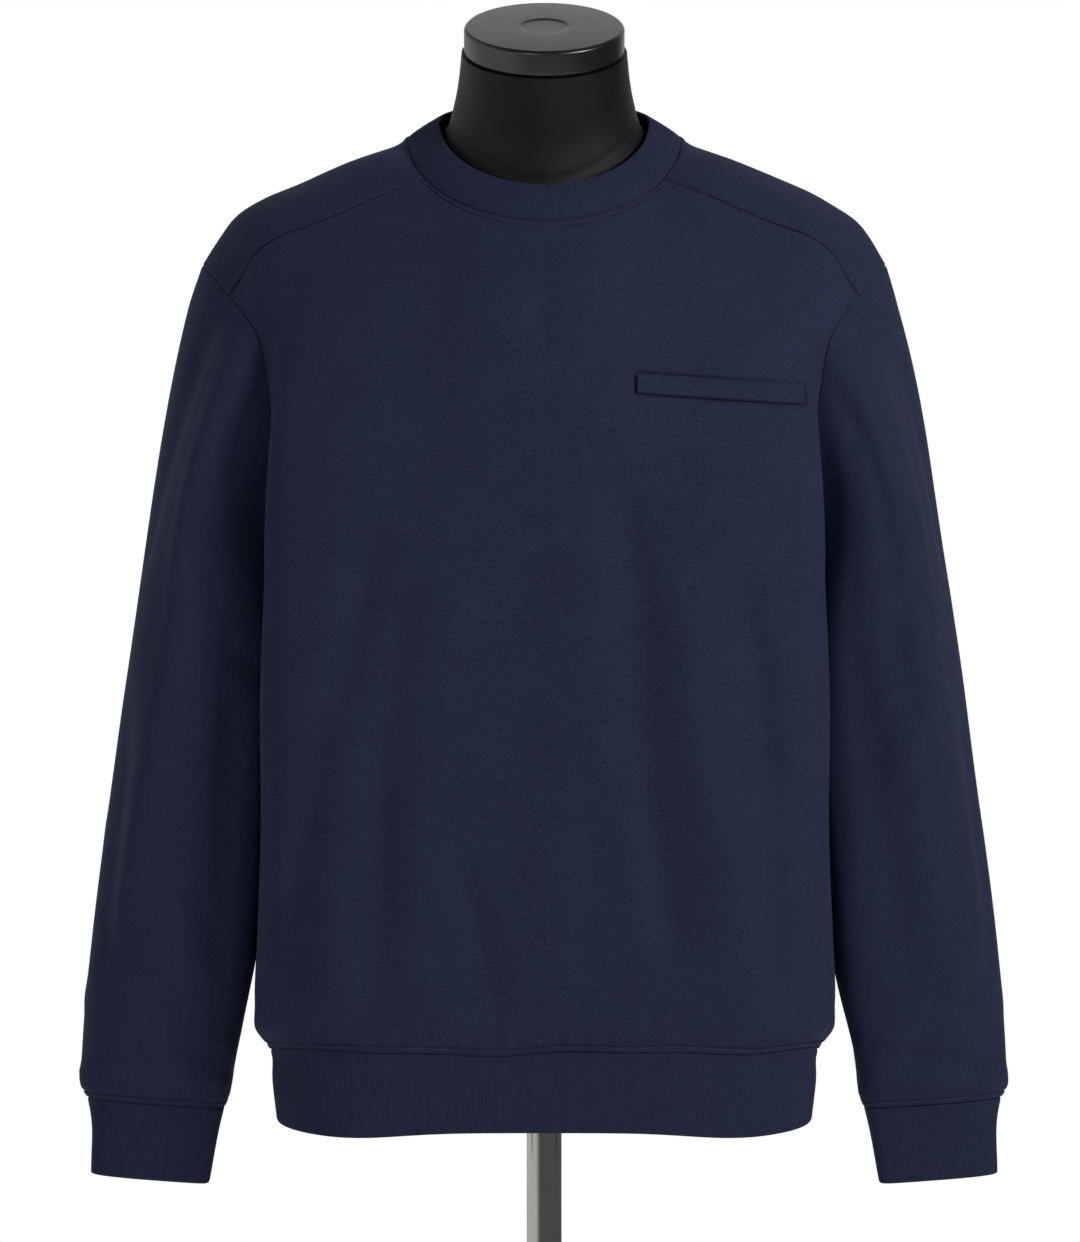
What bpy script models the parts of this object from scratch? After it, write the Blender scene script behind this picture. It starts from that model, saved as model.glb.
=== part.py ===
"""Crewneck sweatshirt worn by a limbless dress form on a pole and a round foot.

Metres, +Z up, +X to the wearer's left, the front faces -Y. The origin lies on the
floor, under the pole. The garment is one surface of patches: the front, the back,
the sleeves and the rib bands. Neighbouring patches share their seam points and
their normals, so each piece becomes a wall whose edges stay SEAM_GAP apart.
"""

import math
from typing import NamedTuple

import bpy
import numpy as np
from mathutils import Vector
from mathutils.bvhtree import BVHTree

# Driving dimensions of the cloth
CLOTH_WALL = 0.0016
SEAM_GAP = 0.0004
NECK_BAND_SWELL = 0.0025
HEM_Z = 0.765
HEM_BAND_HEIGHT = 0.057
HEM_SEAM_Z = HEM_Z + HEM_BAND_HEIGHT
UNDERARM_Z = 1.150

# Driving dimensions of the stand
BASE_RADIUS = 0.190
BASE_THICKNESS = 0.012
BASE_EDGE = 0.003
POLE_RADIUS = 0.0125
SOCKET_RADIUS = 0.024
SOCKET_HEIGHT = 0.045
FORM_BOTTOM_Z = 0.850
CAP_RADIUS = 0.0562
CAP_HEIGHT = 0.019
CAP_TILT = math.radians(20)
CAP_EDGE = 0.0015
NECK_LIP = 0.0018
NECK_TOP = (0.0, -0.0200, 1.5130)

# Cells of each patch; a panel's columns follow the spans of its top edge
NECK_FRONT_COLUMNS = 6
NECK_BACK_COLUMNS = 9
YOKE_COLUMNS = 12
LOWER_ROWS = 8
FRONT_UPPER_ROWS = 9
BACK_UPPER_ROWS = 13
SLEEVE_ROWS = 15
HEM_CROWDING = 0.55
TOP_CROWDING = 0.50
FINE = 8
BAND_ROWS = 2

# Where a panel's spans start on the level of the underarm, as shares of a quarter
NECK_SHARE = 0.27

# Colours, linear
NAVY = (0.016, 0.021, 0.045, 1.0)
JERSEY_BLACK = (0.008, 0.008, 0.009, 1.0)
SATIN_GREY = (0.050, 0.050, 0.048, 1.0)
CHROME = (0.55, 0.55, 0.54, 1.0)
BASE_GREY = (0.32, 0.32, 0.31, 1.0)

# How finely curves are sampled and round pieces are cut
STEPS = 48
CAP_SEGMENTS = 48
POLE_SEGMENTS = 32
BASE_SEGMENTS = 64
SHARP_ANGLE = math.radians(40)
WELD_STEP = 1e-5

# Where a wall meets its neighbour at an angle: the flattest share of it that counts
LEAST_EDGE_AGREEMENT = 0.2
LEAST_WALL_AGREEMENT = 0.75


class Level(NamedTuple):
    """A level section of the body: half width, depths, squareness, side dip."""

    z: float
    width: float
    front: float
    back: float
    square: float
    dip: float


LEVELS = (
    Level(0.765, 0.1920, 0.1180, 0.1120, 4.0, 0.000),
    Level(0.795, 0.1952, 0.1200, 0.1140, 4.0, 0.000),
    Level(0.822, 0.1985, 0.1235, 0.1175, 4.0, 0.002),
    Level(0.832, 0.2045, 0.1285, 0.1225, 4.0, 0.003),
    Level(0.850, 0.2060, 0.1305, 0.1245, 4.1, 0.004),
    Level(0.900, 0.2078, 0.1310, 0.1250, 4.3, 0.011),
    Level(0.980, 0.2095, 0.1300, 0.1245, 4.6, 0.022),
    Level(1.060, 0.2120, 0.1290, 0.1245, 4.9, 0.031),
    Level(1.150, 0.2105, 0.1275, 0.1250, 5.0, 0.0385),
)
DIP_REACH = 0.082
SIDE_SAG = 0.014
SAG_REACH = 0.060
SAG_RISE = 0.060


class Edge(NamedTuple):
    """A point of a panel's top edge and the way a column arrives there."""

    x: float
    y: float
    z: float
    dx: float
    dy: float
    dz: float


YOKE_SEAM = (
    Edge(0.0835, -0.0442, 1.4243, 0.10, 0.72, 0.68),
    Edge(0.1120, -0.0495, 1.4138, 0.06, 0.66, 0.75),
    Edge(0.1380, -0.0510, 1.4025, 0.03, 0.60, 0.80),
    Edge(0.1655, -0.0495, 1.3916, 0.02, 0.55, 0.83),
    Edge(0.1860, -0.0465, 1.3840, 0.00, 0.50, 0.86),
    Edge(0.2000, -0.0430, 1.3735, 0.05, 0.42, 0.89),
    Edge(0.2090, -0.0400, 1.3590, 0.10, 0.32, 0.93),
    Edge(0.2200, -0.0365, 1.3433, 0.20, 0.20, 0.95),
)
class Spot(NamedTuple):
    """A point of a line on the garment."""

    x: float
    y: float
    z: float


# The armhole seam, from the underarm up its front to the end of the yoke seam
ARMHOLE_FRONT = (
    Spot(0.1720, 0.0000, 1.1500),
    Spot(0.1770, -0.0340, 1.1700),
    Spot(0.1850, -0.0580, 1.2200),
    Spot(0.1915, -0.0680, 1.2800),
    Spot(0.2000, -0.0630, 1.3180),
    Spot(0.2112, -0.0500, 1.3336),
    Spot(0.2200, -0.0365, 1.3433),
)
# From the underarm up its back, over the tip and forward to the same end
ARMHOLE_BACK = (
    Spot(0.1720, 0.0000, 1.1500),
    Spot(0.1785, 0.0335, 1.1690),
    Spot(0.1895, 0.0585, 1.2180),
    Spot(0.1990, 0.0700, 1.2850),
    Spot(0.2180, 0.0600, 1.3300),
    Spot(0.2350, 0.0380, 1.3560),
    Spot(0.2410, 0.0080, 1.3638),
    Spot(0.2330, -0.0180, 1.3570),
    Spot(0.2200, -0.0365, 1.3433),
)
TIP = (0.2410, 0.0080, 1.3638)

# Where the back rolls over to the front
SHOULDER_LINE = (
    Spot(0.0955, 0.0080, 1.4530),
    Spot(0.1060, 0.0084, 1.4500),
    Spot(0.1330, 0.0090, 1.4378),
    Spot(0.1665, 0.0095, 1.4230),
    Spot(0.1980, 0.0100, 1.4088),
    Spot(0.2185, 0.0100, 1.3952),
    Spot(0.2300, 0.0095, 1.3800),
    Spot(0.2410, 0.0080, 1.3638),
)
RIDGE_AT_CORNER = 0.20


class NeckRing(NamedTuple):
    """A ring round the neck: half width, depths, and its heights all round."""

    width: float
    front: float
    back: float
    middle: float
    side_z: float
    front_drop: float
    back_rise: float


NECK_SEAM = NeckRing(0.0960, 0.095, 0.070, 0.008, 1.4530, 0.0575, 0.010)
NECK_EDGE = NeckRing(0.0750, 0.082, 0.060, 0.006, 1.4675, 0.0480, 0.016)
NECK_ROUNDNESS = 0.85
CORNER_TURN = math.radians(60.4)
NECK_FRONT_WAY = (0.0, 0.50, 0.86)
NECK_BACK_WAY = (0.0, -0.62, 0.78)
NECK_SIDE_WAY = (-0.66, -0.84, 0.25)
MOST_SIDEWAYS = 0.8
CROSSING_PULL = 0.88
YOKE_SLANT = 0.6
BODY_LEAN = 0.06
LONGEST_CROSSING = 1.30


class Cut(NamedTuple):
    """A cross-section of a sleeve: its height, its four sides, squareness, tilt."""

    z: float
    outer: float
    inner: float
    front: float
    back: float
    square: float
    tilt: float


# How the sleeve leaves the armhole: outwards, to the front or back, and down
CAP_SPREAD = 0.80
CAP_TURN = 0.45
CAP_SWELL = 0.22
CAP_FALL = 0.55
CAP_STEEPER = 0.45

SLEEVE_CUTS = (
    Cut(1.110, 0.2900, 0.1925, -0.0750, 0.0800, 2.3, 6.0),
    Cut(1.058, 0.2975, 0.1970, -0.0740, 0.0660, 2.3, 6.5),
    Cut(0.987, 0.3070, 0.2020, -0.0700, 0.0520, 2.3, 7.0),
    Cut(0.916, 0.3165, 0.2060, -0.0660, 0.0380, 2.3, 7.0),
    Cut(0.873, 0.3216, 0.2085, -0.0620, 0.0300, 2.3, 7.0),
    Cut(0.830, 0.3261, 0.2167, -0.0570, 0.0200, 2.3, 6.5),
    Cut(0.800, 0.3280, 0.2230, -0.0520, 0.0100, 2.3, 5.5),
    Cut(0.788, 0.3290, 0.2240, -0.0490, 0.0050, 2.3, 4.5),
    Cut(0.780, 0.3285, 0.2250, -0.0465, 0.0020, 2.3, 4.0),
    Cut(0.774, 0.3250, 0.2275, -0.0435, -0.0010, 2.4, 4.0),
)
CUFF_CUTS = (
    SLEEVE_CUTS[-1],
    Cut(0.760, 0.3225, 0.2310, -0.0410, -0.0040, 2.5, 4.5),
    Cut(0.720, 0.3225, 0.2385, -0.0380, -0.0090, 2.6, 4.5),
)


class Fold(NamedTuple):
    """A long soft fold of the front: its top, its foot, reach and height."""

    top_x: float
    top_z: float
    foot_x: float
    foot_z: float
    reach: float
    height: float


# A fold fades past its ends by these shares of its length, and towards the sides
FOLD_RUN_ON = 0.66
FOLD_FADE = 0.25
FOLDS_END_X = 0.188
FOLD_EDGE = 0.020
FOLDS_FROM_Y = 0.05

FRONT_FOLDS = (
    Fold(-0.122, 1.170, -0.180, 0.880, 0.020, -0.0042),
    Fold(-0.098, 1.130, -0.122, 0.860, 0.016, -0.0030),
    Fold(-0.140, 1.060, -0.152, 0.870, 0.018, 0.0026),
    Fold(-0.056, 0.960, -0.036, 0.840, 0.015, -0.0030),
    Fold(0.046, 1.250, 0.086, 0.900, 0.019, -0.0045),
    Fold(0.098, 1.120, 0.132, 0.870, 0.022, 0.0040),
    Fold(0.142, 1.130, 0.160, 0.880, 0.016, -0.0038),
)
BACK_FOLDS = (
    Fold(-0.110, 1.220, -0.150, 0.880, 0.022, -0.0045),
    Fold(-0.050, 1.120, -0.070, 0.860, 0.020, 0.0035),
    Fold(0.020, 1.180, 0.015, 0.870, 0.024, -0.0040),
    Fold(0.085, 1.200, 0.110, 0.880, 0.020, 0.0038),
    Fold(0.125, 1.150, 0.160, 0.870, 0.018, -0.0040),
)

# The welt pocket on the front: its corners in X and Z
WELT_INNER_TOP = (0.0640, 1.2880)
WELT_OUTER_TOP = (0.1745, 1.2805)
WELT_DEPTH = 0.0140
WELT_RISE = 0.0010
WELT_WALL = 0.0014
WELT_COLUMNS = 24
WELT_CROWDING = 1.5


class Hoop(NamedTuple):
    """A ring of the dress form; its height differs at side, front and back."""

    width: float
    front: float
    back: float
    middle: float
    square: float
    side_z: float
    front_z: float
    back_z: float


FORM_HOOPS = (
    Hoop(0.120, 0.075, 0.078, 0.000, 2.3, 0.850, 0.850, 0.850),
    Hoop(0.146, 0.093, 0.097, 0.000, 2.3, 0.856, 0.856, 0.856),
    Hoop(0.158, 0.102, 0.106, 0.000, 2.3, 0.880, 0.880, 0.880),
    Hoop(0.160, 0.104, 0.107, 0.000, 2.3, 0.930, 0.930, 0.930),
    Hoop(0.148, 0.100, 0.098, 0.000, 2.3, 1.030, 1.030, 1.030),
    Hoop(0.154, 0.107, 0.103, 0.000, 2.4, 1.120, 1.120, 1.120),
    Hoop(0.163, 0.113, 0.112, 0.000, 2.4, 1.210, 1.200, 1.210),
    Hoop(0.172, 0.106, 0.112, 0.002, 2.5, 1.300, 1.260, 1.280),
    Hoop(0.180, 0.086, 0.090, 0.005, 2.5, 1.368, 1.310, 1.325),
    Hoop(0.178, 0.076, 0.078, 0.008, 2.4, 1.4000, 1.335, 1.352),
    Hoop(0.162, 0.067, 0.068, 0.009, 2.3, 1.4205, 1.354, 1.377),
    Hoop(0.128, 0.064, 0.060, 0.009, 2.2, 1.4353, 1.371, 1.402),
    Hoop(0.098, 0.063, 0.060, 0.010, 2.1, 1.4446, 1.386, 1.427),
    Hoop(0.078, 0.066, 0.058, 0.005, 2.0, 1.4520, 1.404, 1.444),
    Hoop(0.0680, 0.0655, 0.0570, 0.002, 2.0, 1.4630, 1.424, 1.462),
    Hoop(0.0630, 0.0625, 0.0560, -0.003, 2.0, 1.4790, 1.446, 1.482),
    Hoop(0.0600, 0.0600, 0.0560, -0.010, 2.0, 1.4950, 1.468, 1.504),
)
FORM_COLUMNS = 36


def smooth(keys, values, at):
    """Cubic curve through rows of values, with slopes taken from their neighbours."""
    keys = np.asarray(keys, float)
    values = np.asarray(values, float)
    at = np.asarray(at, float)
    slopes = np.gradient(values, keys, axis=0)
    low = np.clip(np.searchsorted(keys, at) - 1, 0, len(keys) - 2)
    span = (keys[low + 1] - keys[low])[..., None]
    t = (at - keys[low])[..., None] / span
    rise = values[low] * (2 * t**3 - 3 * t**2 + 1) + values[low + 1] * (3 * t**2 - 2 * t**3)
    return rise + span * (slopes[low] * (t**3 - 2 * t**2 + t) + slopes[low + 1] * (t**3 - t**2))


def lengths(path):
    """Length along a path from its first point to each of its points."""
    steps = np.linalg.norm(np.diff(path, axis=0), axis=-1)
    return np.concatenate([np.zeros((1,) + steps.shape[1:]), np.cumsum(steps, axis=0)])


def resample(path, shares):
    """The points at these shares of the length of a path of any columns."""
    run = lengths(path[:, :3])
    where = np.asarray(shares) * run[-1]
    return np.stack([np.interp(where, run, path[:, i]) for i in range(path.shape[1])], axis=1)


def along(rows, count):
    """count + 1 evenly spaced rows of a smooth curve through a table's rows."""
    table = np.array(rows, float)
    run = lengths(table[:, :3])
    dense = smooth(run, table, np.linspace(0, run[-1], STEPS * 4))
    return resample(dense, np.linspace(0, 1, count + 1))


def hermite(start, end, leave, arrive):
    """Cubic curves from start to end, one for each column."""
    t = np.linspace(0, 1, STEPS)[:, None, None]
    chord = np.linalg.norm(end - start, axis=1)[None, :, None]
    near = (2 * t**3 - 3 * t**2 + 1) * start + (t**3 - 2 * t**2 + t) * chord * leave
    return near + (3 * t**2 - 2 * t**3) * end + (t**3 - t**2) * chord * arrive


def unit(vectors):
    """The vectors at length 1."""
    return vectors / np.maximum(np.linalg.norm(vectors, axis=-1, keepdims=True), 1e-12)


def quarter(z, shares, facing):
    """A quarter of a body section, from the centre (share 0) to the side seam (1)."""
    keys = [level.z for level in LEVELS]
    row = Level(z, *smooth(keys, [level[1:] for level in LEVELS], z))
    turn = np.linspace(math.pi / 2, 0, STEPS * 4)
    depth = row.front if facing < 0 else row.back
    y = depth * np.sin(turn) ** (2 / row.square)
    out = np.abs(np.cos(turn)) ** (2 / row.square)
    out[0] = 0
    x = row.width * out - row.dip * out**2 * np.exp(-((y / DIP_REACH) ** 2))
    curve = np.stack([x, facing * y, np.full_like(x, z)], axis=1)
    return resample(curve, shares)


def spans(*parts):
    """Column shares over several spans, each (start, end, cells), ends kept once."""
    pieces = [np.linspace(start, end, cells + 1)[:-1] for start, end, cells in parts]
    return np.concatenate(pieces + [[parts[-1][1]]])


def neck_ring(ring, turns):
    """Points of a ring round the neck; turn 0 is its front, pi its back."""
    ahead = np.cos(turns)
    depth = np.where(ahead > 0, ring.front, ring.back)
    reach = np.sign(ahead) * np.abs(ahead) ** NECK_ROUNDNESS
    height = np.where(ahead > 0, -ring.front_drop * ahead, -ring.back_rise * ahead)
    return np.stack(
        [ring.width * np.sin(turns), ring.middle - depth * reach, ring.side_z + height], axis=1
    )


def sagged(points):
    """The points near the hem seam, lowered where the cloth hangs over at the sides."""
    side = np.exp(-((points[..., 1] / SAG_REACH) ** 2))
    below = (points[..., 2] - HEM_Z) / HEM_BAND_HEIGHT
    above = (HEM_SEAM_Z + SAG_RISE - points[..., 2]) / SAG_RISE
    share = np.clip(np.minimum(below, above), 0, 1)
    moved = points.copy()
    moved[..., 2] -= SIDE_SAG * side * share
    return moved


def lower_body(shares, facing):
    """Level sections from the hem seam to the underarm, for these columns."""
    heights = np.linspace(HEM_SEAM_Z, UNDERARM_Z, STEPS)
    return sagged(np.stack([quarter(z, shares, facing) for z in heights]))


def crowded(rows, crowding):
    """Shares of a length for rows + 1 rows, closer to its end (or start, if below 0)."""
    even = np.linspace(0, 1, rows + 1)
    return even + crowding * np.sin(math.pi * even) / math.pi


def rows_of(path, shares):
    """Rows at these shares of each column of a dense path (steps, columns, 3)."""
    return np.stack([resample(path[:, k], shares) for k in range(path.shape[1])], axis=1)


def sampled(surface, row, column):
    """Points of a dense surface at fractional rows and columns."""
    low = np.clip(row.astype(int), 0, surface.shape[0] - 2)
    left = np.clip(column.astype(int), 0, surface.shape[1] - 2)
    a = (row - low)[:, None]
    b = (column - left)[:, None]
    near = surface[low, left] * (1 - b) + surface[low, left + 1] * b
    far = surface[low + 1, left] * (1 - b) + surface[low + 1, left + 1] * b
    return near * (1 - a) + far * a


def fitted(surface, fine_shares, row_shares, shares, edge):
    """Rows of a dense surface, cut short where the armhole edge runs across it.

    Each row slides along the surface to the spot nearest its edge point, most at the
    outer columns: share s moves by (1 - s_edge) s**2, the row by its difference s**3.
    """
    last = np.array(surface.shape[:2]) - 1
    rows = []
    for start, end in zip(row_shares * last[0], edge):
        away = np.linalg.norm(surface - end, axis=2)
        row, column = np.unravel_index(int(away.argmin()), away.shape)
        across = shares - (1 - fine_shares[column]) * shares**2
        where = np.interp(across, fine_shares, np.arange(last[1] + 1))
        found = sampled(surface, start + (row - start) * shares**3, where)
        found += (end - found[-1]) * shares[:, None] ** 6
        found[-1] = end
        rows.append(found)
    rows[-1] = surface[-1, ::FINE]
    return np.stack(rows)


def front_shares(fine=1):
    """Where the front's columns stand on a level section."""
    return spans(
        (0, NECK_SHARE, NECK_FRONT_COLUMNS * fine), (NECK_SHARE, 1, YOKE_COLUMNS * fine)
    )


def back_shares(fine=1):
    """Where the back's columns stand on a level section."""
    return spans(
        (0, NECK_SHARE, NECK_BACK_COLUMNS * fine), (NECK_SHARE, 1, YOKE_COLUMNS * fine)
    )


def panel_half(lower, upper, edge, fine_shares, shares):
    """A half panel: level rows to the underarm, then rows that end on the armhole."""
    below = rows_of(lower[:, ::FINE], crowded(LOWER_ROWS, -HEM_CROWDING))
    surface = rows_of(upper, np.linspace(0, 1, 2 * STEPS + 1))
    above = fitted(surface, fine_shares, crowded(len(edge) - 1, TOP_CROWDING), shares, edge)
    return np.concatenate([below, above[1:]])


def front_half():
    """The wearer's left half of the front, rows from the hem seam to the top edge."""
    turns = np.linspace(0, CORNER_TURN, NECK_FRONT_COLUMNS * FINE + 1)[:-1]
    neck = neck_ring(NECK_SEAM, turns)
    yoke = along(YOKE_SEAM, YOKE_COLUMNS * FINE)
    near_corner = (turns / CORNER_TURN)[:, None]
    lean = (1 - near_corner) * np.array(NECK_FRONT_WAY) + near_corner * yoke[0, 3:]
    top = np.concatenate([neck, yoke[:, :3]])
    arrive = unit(np.concatenate([lean, yoke[:, 3:]]))
    lower = lower_body(front_shares(FINE), -1)
    leave = np.array([0.0, -BODY_LEAN, 1.0]) + 0 * top
    upper = hermite(lower[-1], top, leave, arrive)
    edge = along(ARMHOLE_FRONT, FRONT_UPPER_ROWS)
    return panel_half(lower, upper, edge, front_shares(FINE), front_shares())


def shoulder_line(shares):
    """Points of the shoulder line at these shares of its length, and its way there."""
    line = np.array(SHOULDER_LINE)
    run = lengths(line)
    dense = smooth(run, line, np.linspace(0, run[-1], STEPS * 4))
    way = np.gradient(dense, axis=0)
    found = resample(np.concatenate([dense, way], axis=1), shares)
    return found[:, :3], unit(found[:, 3:])


def back_half():
    """The wearer's left half of the back, which rolls over the shoulder line."""
    turns = np.linspace(math.pi, CORNER_TURN, NECK_BACK_COLUMNS * FINE + 1)[:-1]
    neck = neck_ring(NECK_SEAM, turns)
    behind = np.clip(-np.cos(turns), 0, 1)[:, None]
    sidelong = (1 - behind) ** 2
    neck_arrive = (1 - sidelong) * np.array(NECK_BACK_WAY) + sidelong * np.array(NECK_SIDE_WAY)
    beyond = np.clip(np.cos(turns) / math.cos(CORNER_TURN), 0, 1)
    yoke = along(YOKE_SEAM, YOKE_COLUMNS * FINE)
    top = np.concatenate([neck, yoke[:, :3]])
    arrive = np.concatenate([neck_arrive, -yoke[:, 3:]])

    # How far along the shoulder line a column crosses it; at 0 it doesn't
    crossing = np.concatenate([
        RIDGE_AT_CORNER * beyond, np.linspace(RIDGE_AT_CORNER, 1, YOKE_COLUMNS * FINE + 1)
    ])
    crosses = (crossing > 0)[:, None]
    ridge, along_ridge = shoulder_line(crossing)
    ridge = np.where(crosses, ridge, top)
    # A crossing column heads for its own end, level across the shoulder line
    sideways = (top - ridge)[:, :1] / np.maximum(-(top - ridge)[:, 1:2], 1e-3)
    sideways = np.clip(sideways, -MOST_SIDEWAYS, MOST_SIDEWAYS) * (1 - crossing[:, None])
    beside_neck = NECK_SIDE_WAY[0] / -NECK_SIDE_WAY[1]
    share = beyond[:, None]
    sideways[: len(neck)] = (1 - share) * beside_neck + share * sideways[len(neck)]
    over = np.array([0.0, -1.0, 0.0]) + sideways * along_ridge / along_ridge[:, :1]
    size = np.linalg.norm(over, axis=1, keepdims=True)
    over = over * np.minimum(1, LONGEST_CROSSING / size)
    seam_way = np.gradient(yoke[:, :3], axis=0)
    arrive[len(neck) :] += YOKE_SLANT * sideways[len(neck) :] * seam_way / seam_way[:, :1]
    arrive[: len(neck)] = (1 - share) * neck_arrive + share * arrive[len(neck)]
    ridge_way = np.where(crosses, CROSSING_PULL * over, arrive)

    lower = lower_body(back_shares(FINE), 1)
    leave = np.array([0.0, BODY_LEAN, 1.0]) + 0 * top
    rise = hermite(lower[-1], ridge, leave, ridge_way)
    fall = hermite(ridge, top, ridge_way, arrive)
    upper = np.concatenate([rise, fall[1:]])
    edge = along(ARMHOLE_BACK, BACK_UPPER_ROWS)
    return panel_half(lower, upper, edge, back_shares(FINE), back_shares())


def cut_ring(cut, turns):
    """Points of a sleeve's cross-section; turn 0 faces the body, pi/2 the front."""
    middle = np.array([(cut.outer + cut.inner) / 2, (cut.front + cut.back) / 2])
    reach = np.array([(cut.outer - cut.inner) / 2, (cut.back - cut.front) / 2])
    c = -np.cos(turns)
    s = -np.sin(turns)
    x = np.sign(c) * np.abs(c) ** (2 / cut.square) * reach[0]
    y = np.sign(s) * np.abs(s) ** (2 / cut.square) * reach[1]
    z = cut.z + x * math.tan(math.radians(cut.tilt))
    return np.stack([middle[0] + x, middle[1] + y, z], axis=1)


def armhole_loop():
    """The left armhole from the underarm up its front, over the tip and down the back."""
    rear = along(ARMHOLE_BACK, BACK_UPPER_ROWS)[::-1]
    return np.concatenate([along(ARMHOLE_FRONT, FRONT_UPPER_ROWS), rear[1:]])


def sleeve_turns():
    """The turn of each armhole point round the sleeve: its underarm 0, its tip pi."""
    loop = armhole_loop()
    run = lengths(loop)
    tip = run[int(np.linalg.norm(loop - np.array(TIP), axis=1).argmin())]
    return np.interp(run, [0, tip, run[-1]], [0, math.pi, 2 * math.pi])


def cut_rows(cuts, turns):
    """A dense tube through cross-sections, one path for each turn."""
    rings = np.stack([cut_ring(cut, turns) for cut in cuts])
    keys = [-cut.z for cut in cuts]
    at = np.linspace(keys[0], keys[-1], STEPS)
    flat = smooth(keys, rings.reshape(len(cuts), -1), at)
    return flat.reshape(STEPS, len(turns), 3)


def sleeve():
    """The left sleeve, rows from the armhole seam to the cuff seam."""
    turns = sleeve_turns()
    loop = armhole_loop()
    lower = cut_rows(SLEEVE_CUTS, turns)
    outward = -np.cos(turns)
    side = -np.sin(turns)
    sideways = CAP_SPREAD - CAP_TURN * outward
    down = CAP_FALL + CAP_STEEPER * np.maximum(outward, 0)
    leave = np.stack([sideways, CAP_SWELL * side, -down], axis=1)
    arrive = unit(lower[1] - lower[0])
    upper = hermite(loop, lower[0], unit(leave), arrive)
    return rows_of(np.concatenate([upper, lower[1:]]), np.linspace(0, 1, SLEEVE_ROWS + 1))


def cuff():
    """The left cuff, rows from its seam to its end."""
    return rows_of(cut_rows(CUFF_CUTS, sleeve_turns()), np.linspace(0, 1, BAND_ROWS + 1))


def hem_ring(z):
    """The left half of the hem band's section, from centre front to centre back."""
    return np.concatenate([quarter(z, front_shares(), -1), quarter(z, back_shares(), 1)[-2::-1]])


def hem_half():
    """The left half of the hem band, rows from its bottom to its seam."""
    heights = np.linspace(HEM_Z, HEM_SEAM_Z, BAND_ROWS + 1)
    return sagged(np.stack([hem_ring(z) for z in heights]))


def neck_half():
    """The left half of the neck band, rows from its seam to its edge."""
    front = np.linspace(0, CORNER_TURN, NECK_FRONT_COLUMNS + 1)
    back = np.linspace(CORNER_TURN, math.pi, NECK_BACK_COLUMNS + 1)[1:]
    turns = np.concatenate([front, back])
    low = neck_ring(NECK_SEAM, turns)
    high = neck_ring(NECK_EDGE, turns)
    rows = np.linspace(0, 1, BAND_ROWS + 1)[:, None, None]
    swell = NECK_BAND_SWELL * np.sin(math.pi * rows)
    outward = np.stack([np.sin(turns), -np.cos(turns), 0 * turns], axis=1)
    return low + (high - low) * rows + swell * outward


def fold_lift(points, folds, facing):
    """How far the folds push each point outwards, fading at their ends and sides."""
    x, y, z = points[..., 0], points[..., 1], points[..., 2]
    lift = np.zeros_like(x)
    for fold in folds:
        t = (fold.top_z - z) / (fold.top_z - fold.foot_z)
        line = fold.top_x + (fold.foot_x - fold.top_x) * t
        fade = np.clip((FOLD_RUN_ON - np.abs(t - 0.5)) / FOLD_FADE, 0, 1)
        fade = fade * fade * (3 - 2 * fade)
        lift += fold.height * fade * np.exp(-(((x - line) / fold.reach) ** 2))
    inside = np.clip((FOLDS_END_X - np.abs(x)) / FOLD_EDGE, 0, 1)
    return np.where(y * facing > FOLDS_FROM_Y, lift * inside, 0)


def draped(points):
    """Panel points with the folds of the front and the back in them."""
    moved = points.copy()
    moved[..., 1] -= fold_lift(points, FRONT_FOLDS, -1)
    moved[..., 1] += fold_lift(points, BACK_FOLDS, 1)
    return moved


def mirrored(grid):
    """The same patch on the wearer's right, with its columns turned round."""
    return grid[:, ::-1] * np.array([-1.0, 1.0, 1.0])


def both_halves(half):
    """A full-width patch from a left half whose first column is the centre."""
    return np.concatenate([mirrored(half)[:, :-1], half], axis=1)


class Patch(NamedTuple):
    """A grid of points for a piece, and whether its faces have to be turned."""

    piece: str
    grid: np.ndarray
    turned: bool


def patches():
    """Every patch of the garment's outer surface."""
    front = draped(both_halves(front_half()))
    back = draped(both_halves(back_half()))
    arm = sleeve()
    wrist = cuff()
    hem = hem_half()
    neck = neck_half()
    return [
        Patch("front_panel", front, False),
        Patch("back_panel", back, True),
        Patch("sleeve_left", arm, True),
        Patch("sleeve_right", mirrored(arm), True),
        Patch("cuff_left", wrist, True),
        Patch("cuff_right", mirrored(wrist), True),
        Patch("hem_band", hem, False),
        Patch("hem_band", mirrored(hem), False),
        Patch("neck_band", neck, False),
        Patch("neck_band", mirrored(neck), False),
    ]


def grid_faces(rows, columns):
    """Quads of a grid as corner numbers, row by row."""
    number = np.arange(rows * columns).reshape(rows, columns)
    low, high = number[:-1], number[1:]
    return np.stack([low[:, :-1], low[:, 1:], high[:, 1:], high[:, :-1]], axis=-1).reshape(-1, 4)


def weld(all_patches):
    """Shared points of all patches, and each piece's faces on them."""
    points = []
    owners = []
    faces = []
    start = 0
    for patch in all_patches:
        rows, columns = patch.grid.shape[:2]
        quads = grid_faces(rows, columns) + start
        faces.append(quads[:, ::-1] if patch.turned else quads)
        owners += [patch.piece] * len(quads)
        points.append(patch.grid.reshape(-1, 3))
        start += rows * columns
    points = np.concatenate(points)
    key = np.round(points / WELD_STEP).astype(np.int64)
    _, first, index = np.unique(key, axis=0, return_index=True, return_inverse=True)
    return points[first], index.reshape(-1)[np.concatenate(faces)], np.array(owners)


def face_normals(points, faces):
    """Area-weighted normals of quads."""
    a, b, c, d = (points[faces[:, i]] for i in range(4))
    return np.cross(c - a, d - b) / 2


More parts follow.
